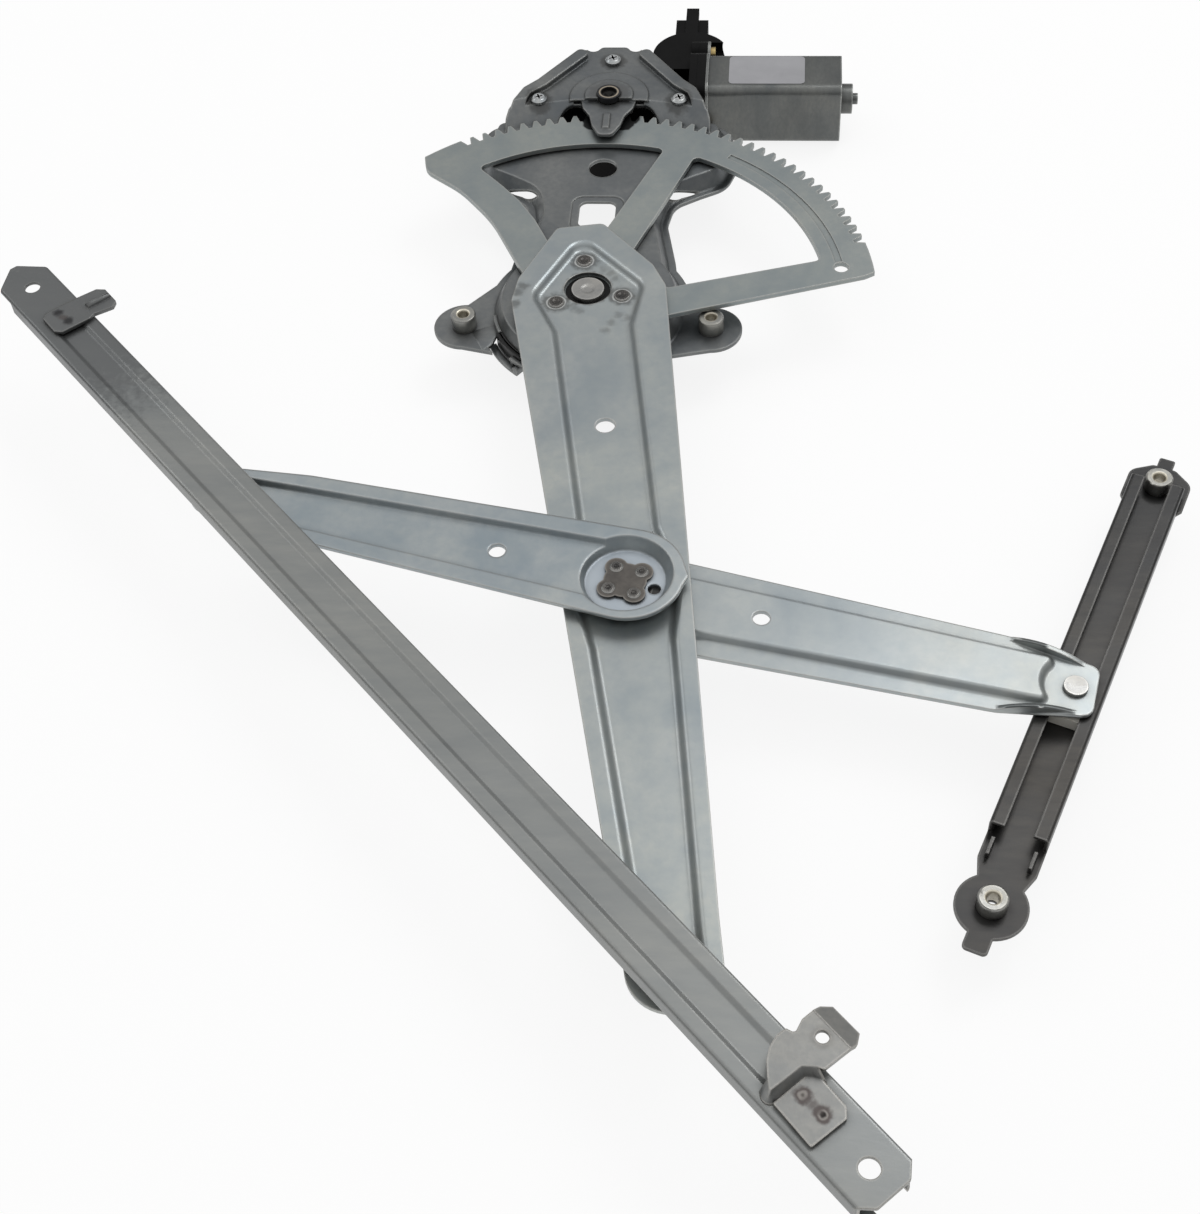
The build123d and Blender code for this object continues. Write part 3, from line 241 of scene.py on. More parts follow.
def zinc(name, base, cool, warm, soil_and_shade_colour, rough, cloud=30.0, soil_and_shade_amount=0.7, bump=0.03, metal=0.8, edge=None,
         edge_share=0.0, marks=(), stretch=(1.0, 1.0, 1.0), turn=0.0, fold=0.0):
    """A zinc finish: clouds of a cooler and a warmer tint over the base colour, soil and painted shade in the
    corners, pale edges that are partly bare metal and partly a painted highlight, and any marks, each given as
    (places, inner radius, outer radius, colour, strength)."""
    material = bpy.data.materials.new(name)
    material.use_nodes = True
    tree = material.node_tree
    shader = tree.nodes["Principled BSDF"]
    shader.inputs["Metallic"].default_value = metal
    tint = tree.nodes.new("ShaderNodeGroup")
    tint.node_tree = clouds
    tint.inputs["Cloud size"].default_value = cloud
    tint.inputs["Stretch"].default_value = stretch
    tint.inputs["Turn"].default_value = (0.0, 0.0, turn)
    soil_and_shade_node = tree.nodes.new("ShaderNodeGroup")
    soil_and_shade_node.node_tree = soil_and_shade
    soil_and_shade_node.inputs["Amount"].default_value = soil_and_shade_amount
    bloom_share, speck_share, rough_spread = 0.65, 0.35, 0.08
    color = mixed(tree, tint.outputs["Cloud"], base, cool)
    color = mixed(tree, ranged(tree, tint.outputs["Bloom"], 0.0, bloom_share), color, warm)
    color = mixed(tree, ranged(tree, tint.outputs["Speck"], 0.0, speck_share), color, cool)
    # Rims go towards the edge colour: partly bare metal, partly a painted highlight.
    if edge:
        color = mixed(tree, ranged(tree, soil_and_shade_node.outputs["Edge"], 0.0, edge_share), color, edge)
    for places, inner, outer, mark, strength in marks:
        color = mixed(tree, ranged(tree, spots(tree, places, inner, outer), 0.0, strength), color, mark)
    # Corners, recesses and contacts go towards the corner colour: soil and painted shade.
    color = mixed(tree, soil_and_shade_node.outputs["Mask"], color, soil_and_shade_colour)
    tree.links.new(color, shader.inputs["Base Color"])
    roughness = ranged(tree, tint.outputs["Bloom"], rough - rough_spread, rough + rough_spread)
    tree.links.new(roughness, shader.inputs["Roughness"])
    relief = tree.nodes.new("ShaderNodeBump")
    relief.inputs["Strength"].default_value = bump
    relief.inputs["Distance"].default_value = 0.0004
    tree.links.new(tint.outputs["Grain"], relief.inputs["Height"])
    if fold:
        folded = tree.nodes.new("ShaderNodeBevel")
        folded.samples = 6
        folded.inputs["Radius"].default_value = fold
        tree.links.new(folded.outputs["Normal"], relief.inputs["Normal"])
    tree.links.new(relief.outputs["Normal"], shader.inputs["Normal"])
    return material


joints = {joint["name"]: joint for joint in frame["joints"]}
drive_centre = joints["drive_gear"]["pos_m"][:2]
screw_places = ((0.0, 0.1935), (-0.0375, 0.1588), (0.0375, 0.1588))
plate_marks = (
    (screw_places, 0.0055, 0.0085, (0.045, 0.043, 0.04), 0.55),
    ((drive_centre,), 0.009, 0.013, (0.10, 0.10, 0.10), 0.5),
)
plate_zinc = zinc("galvanised plate", (0.175, 0.185, 0.19), (0.11, 0.122, 0.132), (0.26, 0.26, 0.245),
                  (0.012, 0.012, 0.013), 0.38, cloud=42.0, soil_and_shade_amount=1.0, bump=0.05,
                  edge=(0.42, 0.42, 0.40), edge_share=0.55, marks=plate_marks, fold=0.0016)
paint(nodes["base_plate"], plate_zinc)


# Root of the left ear and the lip of the spring window. The ear runs on to the cup's skirt. Past the window a
# narrow strip of the same sheet goes round the outside of the spring and ends in a small turned-up hook.
sharp_angle = math.radians(50.0)
smooth_angle = math.radians(40.0)


def finished(piece, body, material, soft=0.0003):
    """Breaks the edges of a new piece, smooths it and hangs it on its body with its finish."""
    broken = piece.modifiers.new("edges", "BEVEL")
    broken.limit_method = "ANGLE"
    broken.angle_limit = sharp_angle
    broken.width = soft
    broken.segments = 2
    bpy.ops.object.modifier_apply(modifier=broken.name)
    bpy.ops.object.shade_smooth_by_angle(angle=smooth_angle)
    paint(piece, material)
    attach(piece, body)


pivot_x, pivot_y = joints["main_pivot"]["pos_m"][:2]


def arc_strip(piece, inner, outer, low, high, start, stop):
    """A strip that follows an arc round the pivot: radii and heights in mm, angles in degrees."""
    bpy.ops.object.select_all(action="DESELECT")
    bpy.ops.mesh.primitive_plane_add(size=0.001)
    made = bpy.context.active_object
    made.name = piece
    turn = math.radians(start)
    middle, level = (inner + outer) / 2000.0, (low + high) / 2000.0
    made.scale = (outer - inner, high - low, 1.0)
    made.rotation_euler = (math.radians(90.0), 0.0, turn)
    made.location = (pivot_x + middle * math.cos(turn), pivot_y + middle * math.sin(turn), level)
    bpy.ops.object.transform_apply(location=True, rotation=True, scale=True)
    bpy.ops.object.mode_set(mode="EDIT")
    bpy.ops.mesh.select_all(action="SELECT")
    # The operator turns clockwise for a positive angle.
    bpy.ops.mesh.spin(steps=14, angle=math.radians(start - stop), center=(pivot_x, pivot_y, 0.0),
                      axis=(0.0, 0.0, 1.0))
    bpy.ops.mesh.select_all(action="SELECT")
    bpy.ops.mesh.remove_doubles(threshold=0.000001)
    bpy.ops.mesh.normals_make_consistent(inside=False)
    bpy.ops.object.mode_set(mode="OBJECT")
    return made


bpy.ops.object.select_all(action="DESELECT")
bpy.ops.mesh.primitive_plane_add(size=1.0)
ear_root = bpy.context.active_object
ear_root.name = "ear_root"
ear_corners = ((-0.0496, -0.0178), (-0.0454, -0.0130), (-0.0570, -0.0040), (-0.0410, 0.0036))
ear_low, ear_thick = -0.00004, 0.00188
for vertex, (x, y) in zip(ear_root.data.vertices, ear_corners):
    vertex.co = (x, y, ear_low)
bpy.ops.object.mode_set(mode="EDIT")
bpy.ops.mesh.select_all(action="SELECT")
bpy.ops.mesh.extrude_region_move(TRANSFORM_OT_translate={"value": (0.0, 0.0, ear_thick)})
bpy.ops.mesh.select_all(action="SELECT")
bpy.ops.mesh.normals_make_consistent(inside=False)
bpy.ops.object.mode_set(mode="OBJECT")
finished(ear_root, "base", plate_zinc)
for piece, inner, outer, low, high, start, stop in (
        ("cup_skirt_end", 45.4, 47.2, 0.0, 4.8, 190.0, 205.5),
        ("spring_window_lip", 48.6, 52.4, -4.6, -3.0, 204.0, 229.0),
        ("spring_window_hook", 47.0, 52.4, -4.6, -0.6, 229.0, 232.0)):
    finished(arc_strip(piece, inner, outer, low, high, start, stop), "base", plate_zinc)


# Ear nuts, rail nuts, rivets, pins and screws. Turned or headed steel with a dull yellowish coat, seated in a
# little grease and painted shade, with rims partly bare and partly a painted highlight. Each is a copy of the CAD
# body with its sharp edges broken, and the nuts are countersunk.
def countersink(made, mouths, reach=0.0034, depth=0.0011):
    """Bevels the edges of a body's top face that lie round each of the mouths, given as (x, y) of a bore."""
    points = [vertex.co for vertex in made.data.vertices]
    top = max(point.z for point in points) - 0.00001
    for edge in made.data.edges:
        edge.select = all(
            points[i].z > top and min(math.dist(points[i].xy, mouth) for mouth in mouths) < reach
            for i in edge.vertices)
    bpy.ops.object.mode_set(mode="EDIT")
    bpy.ops.mesh.bevel(offset=depth, segments=2, affect="EDGES")
    bpy.ops.object.mode_set(mode="OBJECT")


def mark_bends(made):
    """Marks the bends of a pressed sheet, known by how far its faces turn, for a bevel by weight."""
    mesh = bmesh.new()
    mesh.from_mesh(made.data)
    bends = mesh.edges.layers.float.new("bevel_weight_edge")
    for edge in mesh.edges:
        turn = math.degrees(edge.calc_face_angle(0.0)) if len(edge.link_faces) == 2 else 0.0
        edge[bends] = 1.0 if 32.0 < turn < 78.0 else 0.0
    mesh.to_mesh(made.data)
    mesh.free()


def shaped_copy(node, piece, body, bend=0.0, rim=0.0, mouths=()):
    """A copy of a CAD body that stands for its node, with rounded bends or broken edges, and a countersink at
    each of the mouths."""
    made = bpy.data.objects.new(piece, nodes[node].data.copy())
    bpy.context.scene.collection.objects.link(made)
    bpy.ops.object.select_all(action="DESELECT")
    made.select_set(True)
    bpy.context.view_layer.objects.active = made
    bpy.ops.object.mode_set(mode="EDIT")
    bpy.ops.mesh.select_all(action="SELECT")
    bpy.ops.mesh.remove_doubles(threshold=0.00001)
    bpy.ops.mesh.dissolve_limited(angle_limit=math.radians(0.3))
    bpy.ops.mesh.select_mode(type="EDGE")
    bpy.ops.mesh.select_all(action="DESELECT")
    bpy.ops.object.mode_set(mode="OBJECT")
    if mouths:
        countersink(made, mouths)
    if bend:
        mark_bends(made)
    edges = made.modifiers.new("edges", "BEVEL")
    edges.limit_method = "WEIGHT" if bend else "ANGLE"
    edges.angle_limit = sharp_angle
    edges.width = bend or rim
    edges.segments = 3 if bend else 2
    edges.use_clamp_overlap = not bend
    bpy.ops.object.modifier_apply(modifier=edges.name)
    bpy.ops.object.shade_smooth_by_angle(angle=smooth_angle)
    evened = made.modifiers.new("even", "WEIGHTED_NORMAL")
    evened.keep_sharp = True
    evened.weight = 80
    bpy.ops.object.modifier_apply(modifier=evened.name)
    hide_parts(node)
    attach(made, body)
    return made


mounts = {mount["name"]: mount for mount in frame["record"]["mounts"]}
half_spacing = mounts["ear_nuts"]["dims"]["spacing_x_mm"] / 2000.0
bores = {"ear_nuts": ((-half_spacing, 0.0), (half_spacing, 0.0)),
         "rail_nuts": tuple(mounts[name]["pos_m"][:2] for name in ("rail_nut_upper", "rail_nut_lower"))}
bright_thread = (bores["ear_nuts"] + bores["rail_nuts"], 0.0032, 0.0036, (0.75, 0.70, 0.58), 0.85)
nut_steel = zinc("yellowed steel", (0.30, 0.30, 0.285), (0.20, 0.205, 0.205), (0.40, 0.385, 0.335),
                 (0.01, 0.009, 0.008), 0.34, cloud=160.0, soil_and_shade_amount=1.8, edge=(0.72, 0.70, 0.64),
                 edge_share=0.8, marks=(bright_thread,))
rivet_steel = zinc("worked steel", (0.06, 0.058, 0.056), (0.028, 0.028, 0.029), (0.12, 0.11, 0.10),
                   (0.004, 0.004, 0.004), 0.28, cloud=240.0, soil_and_shade_amount=1.9, edge=(0.62, 0.61, 0.58),
                   edge_share=0.8)
pin_steel = zinc("pin steel", (0.34, 0.34, 0.33), (0.24, 0.245, 0.25), (0.42, 0.40, 0.36),
                 (0.012, 0.011, 0.010), 0.30, cloud=180.0, soil_and_shade_amount=1.6, edge=(0.70, 0.69, 0.66),
                 edge_share=0.6)
screw_steel = zinc("plated screw", (0.40, 0.42, 0.43), (0.30, 0.33, 0.35), (0.48, 0.47, 0.44),
                   (0.01, 0.01, 0.01), 0.24, cloud=200.0, soil_and_shade_amount=1.8, edge=(0.85, 0.86, 0.86),
                   edge_share=0.7)
for node, piece, body, slot, finish, rim in (
        ("ear_nuts", "threaded_ear_nuts", "base", "steel_nut", nut_steel, 0.0003),
        ("rail_nuts", "threaded_rail_nuts", "guide_rail", "steel_nut", nut_steel, 0.0003),
        ("sector_rivets", "set_sector_rivets", "lift_arm", "steel_rivet", rivet_steel, 0.0002),
        ("hub_rivets", "set_hub_rivets", "equalizer", "steel_rivet", rivet_steel, 0.0002),
        ("pivot_shaft", "turned_pivot_shaft", "lift_arm", "steel_rivet", pin_steel, 0.0002),
        ("motor_screws", "cross_slot_screws", "base", "steel_nut", screw_steel, 0.0002),
        ("lift_pin", "headed_lift_pin", "lift_arm", "steel_rivet", pin_steel, 0.00025),
        ("front_pin", "headed_front_pin", "equalizer", "steel_rivet", pin_steel, 0.00025),
        ("guide_pin", "headed_guide_pin", "equalizer", "steel_rivet", pin_steel, 0.00025)):
    paint(shaped_copy(node, piece, body, rim=rim, mouths=bores.get(node, ())), finish)
for name in ("pivot_clip", "hub"):
    paint(nodes[name], rivet_steel)
hub_steel = zinc("bare hub plate", (0.125, 0.115, 0.105), (0.075, 0.070, 0.066), (0.18, 0.165, 0.145),
                 (0.006, 0.006, 0.006), 0.36, cloud=200.0, soil_and_shade_amount=1.9, edge=(0.36, 0.34, 0.31),
                 edge_share=0.6)
paint(nodes["hub_plate"], hub_steel)
for name in ("pinion", "armature_shaft"):
    paint(nodes[name], pin_steel)


# Bushes of sintered bronze, dark with oil. The one in the plate is nearly black, with a pale ring where the
# shaft has polished it. Its black and the black of the shaft's tip in it are painted shade for the dark of the
# drive hole.
bronze = zinc("oiled bronze", (0.26, 0.17, 0.085), (0.20, 0.13, 0.065), (0.32, 0.22, 0.12),
              (0.02, 0.014, 0.008), 0.42, cloud=300.0)
bush_marks = (
    ((drive_centre,), 0.0052, 0.0054, (0.34, 0.29, 0.22), 0.95),
    ((drive_centre,), 0.0044, 0.0046, (0.012, 0.011, 0.010), 1.0),
)
# Painted shade: the bush is made nearly black, outside its pale ring, for the dark of the drive hole.
plate_bush = zinc("polished bush", (0.010, 0.011, 0.014), (0.008, 0.009, 0.011), (0.02, 0.02, 0.022),
                  (0.01, 0.009, 0.008), 0.45, cloud=260.0, soil_and_shade_amount=1.5, metal=0.3, marks=bush_marks)
# Painted shade: the shaft's tip is made nearly black for the dark of the drive hole.
dark_tip = zinc("shaft tip in painted hole shade", (0.012, 0.012, 0.012), (0.02, 0.019, 0.018), (0.03, 0.028, 0.025),
                (0.004, 0.004, 0.004), 0.32, cloud=200.0, metal=0.6)
for name in ("pivot_bush", "worm_bearing", "end_bearing"):
    paint(nodes[name], bronze)
paint(nodes["shaft_bush"], plate_bush)
paint(nodes["output_shaft"], dark_tip)


# Balance spring, rubber and moulded plastics. All are nearly black but for the natural acetal of the sliders
# and the worm wheel. The washers between the arms are acetal too, but coloured nearly black.
def moulded(name, base, tint, rough, bump=0.05, scale=400.0, gloss=0.5):
    """A moulded or coated finish: a dark or pale body with a fine texture and slight change of tint."""
    material = bpy.data.materials.new(name)
    material.use_nodes = True
    tree = material.node_tree
    shader = tree.nodes["Principled BSDF"]
    shader.inputs["Specular IOR Level"].default_value = gloss
    tone = tree.nodes.new("ShaderNodeGroup")
    tone.node_tree = clouds
    tone.inputs["Cloud size"].default_value = 60.0
    tone.inputs["Grain size"].default_value = scale
    tree.links.new(mixed(tree, tone.outputs["Cloud"], base, tint), shader.inputs["Base Color"])
    rough_spread = 0.06
    roughness = ranged(tree, tone.outputs["Bloom"], rough - rough_spread, rough + rough_spread)
    tree.links.new(roughness, shader.inputs["Roughness"])
    relief = tree.nodes.new("ShaderNodeBump")
    relief.inputs["Strength"].default_value = bump
    relief.inputs["Distance"].default_value = 0.0003
    tree.links.new(tone.outputs["Grain"], relief.inputs["Height"])
    tree.links.new(relief.outputs["Normal"], shader.inputs["Normal"])
    return material


black_nylon = moulded("black nylon", (0.0015, 0.0015, 0.0016), (0.003, 0.003, 0.0032), 0.5, bump=0.12,
                      scale=1500.0, gloss=0.10)
oiled_black = moulded("black oiled steel", (0.003, 0.003, 0.003), (0.007, 0.007, 0.007), 0.34, gloss=0.3)
soft_rubber = moulded("black rubber", (0.006, 0.007, 0.009), (0.010, 0.011, 0.014), 0.55, gloss=0.3)
acetal = moulded("natural acetal", (0.62, 0.60, 0.54), (0.68, 0.66, 0.60), 0.40, bump=0.03)
for node, piece, slot in (("gear_housing", "moulded_gear_housing", "black_plastic"),
                          ("brush_housing", "moulded_brush_housing", "black_plastic")):
    paint(shaped_copy(node, piece, "base", rim=0.0004), black_nylon)
paint(nodes["housing_cover"], black_nylon)
paint(shaped_copy("balance_spring", "coiled_balance_spring", "base", rim=0.00025),
      oiled_black)
for name in ("cover_seal", "drive_rubber"):
    paint(nodes[name], soft_rubber)
for piece, inner, outer in (("spring_outer_turn", 46.8, 48.4), ("spring_second_turn", 44.6, 46.2)):
    finished(arc_strip(piece, inner, outer, -4.4, 4.2, 205.0, 231.0), "base", oiled_black)
for name in ("worm_wheel", "brush_holder", "lift_shoe", "front_shoe", "guide_shoe"):
    paint(nodes[name], acetal)
nearly_black_acetal = moulded("nearly black acetal", (0.012, 0.011, 0.010), (0.03, 0.027, 0.022), 0.30, bump=0.03)
paint(nodes["cross_washers"], nearly_black_acetal)


# Motor can and its inner parts. The can is deep drawn and zinc plated, with a bare pale label on its flat.
# Its screws and the connector's blades are brass, the windings copper and the magnets ferrite.
can_zinc = zinc("zinc plated can", (0.135, 0.142, 0.14), (0.085, 0.092, 0.094), (0.19, 0.19, 0.175),
                (0.010, 0.010, 0.010), 0.34, cloud=60.0, soil_and_shade_amount=0.9, bump=0.05, edge=(0.62, 0.63, 0.61),
                edge_share=0.7, stretch=(1.2, 0.6, 0.6), fold=0.0008)
label_film = moulded("bare label", (0.33, 0.33, 0.345), (0.29, 0.29, 0.305), 0.45, bump=0.01)
brass = zinc("yellow brass", (0.50, 0.38, 0.16), (0.44, 0.33, 0.14), (0.56, 0.44, 0.22),
             (0.05, 0.035, 0.02), 0.3, cloud=200.0)
copper = moulded("enamelled copper", (0.42, 0.18, 0.09), (0.36, 0.15, 0.08), 0.35)
core_steel = moulded("stacked core steel", (0.10, 0.10, 0.10), (0.14, 0.14, 0.135), 0.45)
ferrite = moulded("ferrite", (0.03, 0.03, 0.032), (0.045, 0.045, 0.045), 0.55)
paint(shaped_copy("motor_can", "drawn_motor_can", "base", rim=0.0005), can_zinc)
bpy.ops.object.select_all(action="DESELECT")
label_low, label_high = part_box("can_label")
bpy.ops.mesh.primitive_cube_add(size=1.0, location=(label_low + label_high) / 2.0)
label = bpy.context.active_object
label.name = "blank_label"
label.scale = label_high - label_low
bpy.ops.object.transform_apply(location=True, rotation=True, scale=True)
bpy.ops.object.mode_set(mode="EDIT")
bpy.ops.mesh.select_mode(type="EDGE")
bpy.ops.mesh.select_all(action="DESELECT")
bpy.ops.object.mode_set(mode="OBJECT")
for edge in label.data.edges:
    a, b = (label.data.vertices[i].co for i in edge.vertices)
    upright = abs(a.z - b.z) > 0.00001
    edge.select = upright
bpy.ops.object.mode_set(mode="EDIT")
bpy.ops.mesh.bevel(offset=0.0024, segments=6, affect="EDGES")
bpy.ops.object.mode_set(mode="OBJECT")
bpy.ops.object.shade_smooth_by_angle(angle=smooth_angle)
paint(label, label_film)
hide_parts("can_label")
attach(label, "base")
for name in ("can_screws", "connector_terminals"):
    paint(nodes[name], brass)
for name in ("armature_windings", "commutator"):
    paint(nodes[name], copper)
paint(nodes["armature_core"], core_steel)
for name in ("magnets", "carbon_brushes"):
    paint(nodes[name], ferrite)


# Sector and lift arm: one blanked, one pressed, riveted together at the pivot. Bright zinc with a faint blue
# and yellow bloom, grease squeezed out round the pivot and the rivets, painted shade round the pivot hole, a
# painted shadow of the tongue on the sector beside the pinion, a painted highlight on the ring round each
# rivet, and edges partly bare grey and partly a painted highlight.
hub_x, hub_y = joints["cross_pivot"]["pos_m"][:2]
arm_turn = math.atan2(hub_y - pivot_y, hub_x - pivot_x)


def placed(joint, turn, x, y):
    """A place given in mm, along and across a line that leaves a joint at an angle, as (x, y) in metres."""
    start_x, start_y = joints[joint]["pos_m"][:2]
    return (start_x + (x * math.cos(turn) - y * math.sin(turn)) / 1000.0,
            start_y + (x * math.sin(turn) + y * math.cos(turn)) / 1000.0)


def on_arm(x, y):
    """A place on the lift arm at rest, along and across it from the pivot in mm."""
    return placed("main_pivot", arm_turn, x, y)


rivet_spots = (on_arm(-20.0, 0.0), on_arm(8.0, 16.0), on_arm(8.0, -16.0))
smudges = (on_arm(13.0, -8.0), on_arm(15.5, -5.0), on_arm(-12.0, 9.0), on_arm(-9.0, 12.0),
           on_arm(-5.0, 14.0), on_arm(21.0, 13.0), on_arm(26.0, 9.0), on_arm(31.0, 6.0), on_arm(24.0, 17.0))
pale_ring = (0.62, 0.63, 0.62)
grease = (0.05, 0.045, 0.04)
arm_marks = (
    (rivet_spots, 0.0048, 0.0082, grease, 0.6),
    # A painted highlight on the raised ring round each rivet.
    (rivet_spots, 0.0044, 0.0052, pale_ring, 0.8),
    # Painted shade round the rim of the pivot hole.
    ((on_arm(0.0, 0.0),), 0.0104, 0.0132, (0.06, 0.058, 0.055), 0.6),
    (smudges, 0.0004, 0.0036, grease, 0.32),
    ((on_arm(-2.0, -31.0), on_arm(2.0, -34.0), on_arm(10.0, -36.0)), 0.0008, 0.0042, grease, 0.5),
)
arm_zinc = zinc("bright zinc", (0.375, 0.40, 0.405), (0.27, 0.31, 0.335), (0.47, 0.475, 0.43),
                (0.010, 0.011, 0.013), 0.36, cloud=24.0, soil_and_shade_amount=1.0, bump=0.04,
                edge=(0.55, 0.535, 0.50), edge_share=0.7, marks=arm_marks, fold=0.0007)
# Painted shadow of the tongue on the sector's face, beside the pinion.
painted_tongue_shadow = ((-0.0070, 0.1450), (-0.0085, 0.1500), (0.0085, 0.1450), (0.0115, 0.1500))
sector_marks = (
    # A thin painted shadow on the sector where the edge of the arm's pivot hole lies.
    ((on_arm(0.0, 0.0),), 0.0108, 0.0110, (0.008, 0.008, 0.008), 1.0),
    (painted_tongue_shadow, 0.0052, 0.0064, (0.004, 0.004, 0.004), 0.97),
)
sector_zinc = zinc("sector zinc", (0.30, 0.325, 0.325), (0.225, 0.26, 0.275), (0.37, 0.375, 0.335),
                   (0.012, 0.012, 0.013), 0.40, cloud=30.0, soil_and_shade_amount=0.9, bump=0.04,
                   edge=(0.50, 0.49, 0.46), edge_share=0.6, fold=0.0004, marks=sector_marks)
paint(nodes["sector_gear"], sector_zinc)
paint(shaped_copy("lift_arm", "pressed_lift_arm", "lift_arm", bend=0.0018), arm_zinc)


# Crossing arm: two pressings that meet at the hub, one above the lift arm and one below it. The front one is
# a little darker and bluer, with a pale floor in its dish. The rear one is nearly white on its panel.
dish_floor = (((hub_x, hub_y),), 0.0169, 0.0175, (0.47, 0.52, 0.58), 0.6)
front_zinc = zinc("blue zinc", (0.36, 0.395, 0.415), (0.255, 0.305, 0.34), (0.48, 0.485, 0.45),
                  (0.008, 0.010, 0.014), 0.36, cloud=26.0, soil_and_shade_amount=1.2, bump=0.04,
                  edge=(0.55, 0.54, 0.51), edge_share=0.7, fold=0.0016, marks=(dish_floor,))
rear_zinc = zinc("pale zinc", (0.38, 0.41, 0.42), (0.29, 0.33, 0.355), (0.50, 0.50, 0.455),
                 (0.010, 0.011, 0.013), 0.36, cloud=22.0, soil_and_shade_amount=1.0, bump=0.04,
                 edge=(0.55, 0.54, 0.51), edge_share=0.6, fold=0.0010)
paint(nodes["front_arm"], front_zinc)
paint(shaped_copy("rear_arm", "pressed_rear_arm", "equalizer", bend=0.0010), rear_zinc)


# Glass channel and its two brackets. The channel is rolled from galvanised strip, with drawn-out clouds, and
# its colour goes darker at the upper end. The brackets are spot welded on, which leaves pairs of brown marks.
channel_x, channel_y = joints["channel_slide"]["axis"][:2]
channel_turn = math.atan2(channel_y, channel_x)


def on_channel(x, y):
    """A place on the glass channel at rest, along and across it from the front pin in mm."""
    return placed("front_shoe_pivot", channel_turn, x, y)


weld_brown = (0.09, 0.078, 0.075)
upper_weld, lower_weld = on_channel(379.0, 0.1), on_channel(388.4, 0.5)
bracket_marks = (
    ((upper_weld, lower_weld), 0.0022, 0.0042, weld_brown, 1.0),
    ((upper_weld, lower_weld), 0.0014, 0.0022, (0.24, 0.225, 0.21), 0.8),
    ((lower_weld,), 0.0006, 0.0015, (0.012, 0.010, 0.010), 0.95),
    ((upper_weld,), 0.0004, 0.0012, (0.05, 0.045, 0.04), 0.7),
    ((on_channel(-137.1, 0.0), on_channel(-128.7, 0.7)), 0.0008, 0.0036, (0.035, 0.034, 0.036), 0.95),
    ((on_channel(381.5, 0.2), on_channel(383.7, 0.3), on_channel(386.0, 0.4), on_channel(-133.0, 0.3)),
     0.0006, 0.0028, weld_brown, 0.75),
    ((on_channel(369.3, 18.0),), 0.0030, 0.0052, (0.12, 0.115, 0.11), 0.35),
)
upper_end = (on_channel(-150.0, 0.0), on_channel(-120.0, 0.0))
# The colour goes darker towards the upper end of the channel and of its bracket.
darker_upper_end = ((upper_end, 0.028, 0.075, (0.13, 0.135, 0.137), 0.8),)
strip_zinc = zinc("galvanised strip", (0.25, 0.26, 0.26), (0.195, 0.208, 0.212), (0.31, 0.31, 0.29),
                  (0.012, 0.011, 0.010), 0.38, cloud=26.0, soil_and_shade_amount=1.1, bump=0.05,
                  edge=(0.52, 0.50, 0.46), edge_share=0.7, marks=darker_upper_end, stretch=(0.25, 1.0, 1.0),
                  turn=-channel_turn, fold=0.0009)
bracket_zinc = zinc("bracket zinc", (0.25, 0.255, 0.25), (0.17, 0.18, 0.185), (0.33, 0.32, 0.295),
                    (0.012, 0.010, 0.009), 0.38, cloud=40.0, soil_and_shade_amount=1.3, bump=0.05,
                    edge=(0.60, 0.58, 0.54), edge_share=0.8, marks=darker_upper_end + bracket_marks, fold=0.0010)
paint(nodes["glass_channel"], strip_zinc)
paint(nodes["right_bracket"], bracket_zinc)
paint(shaped_copy("left_bracket", "welded_left_bracket", "glass_channel", bend=0.0012),
      bracket_zinc)


# Guide rail. The darkest of the strips, brownish grey, with old grease and painted shade in its channel, and
# rolled lips made bright, partly bare and partly a painted highlight. Its clouds are drawn out, as on the glass
# channel.
rail_x, rail_y = joints["rail_slide"]["axis"][:2]
rail_zinc = zinc("greased strip", (0.046, 0.046, 0.045), (0.026, 0.027, 0.029), (0.080, 0.074, 0.066),
                 (0.006, 0.005, 0.005), 0.36, cloud=30.0, soil_and_shade_amount=1.2, bump=0.06,
                 edge=(0.27, 0.265, 0.255), edge_share=0.6, stretch=(0.25, 1.0, 1.0),
                 turn=math.atan2(-rail_x, -rail_y), fold=0.0008)
paint(nodes["guide_rail"], rail_zinc)


# Studio: white paper under the part, a soft room that is brighter overhead, a wide lamp beyond the right side
# and a weak one over the far left. The paper shows white to the camera and in gloss, with a faint shadow.
floor_z = cad_box[0][2] - 0.0005
floor_size = 8.0
bpy.ops.object.select_all(action="DESELECT")
bpy.ops.mesh.primitive_plane_add(size=floor_size, location=(0.0, 0.0, floor_z))
floor = bpy.context.active_object
floor.name = "studio_floor"


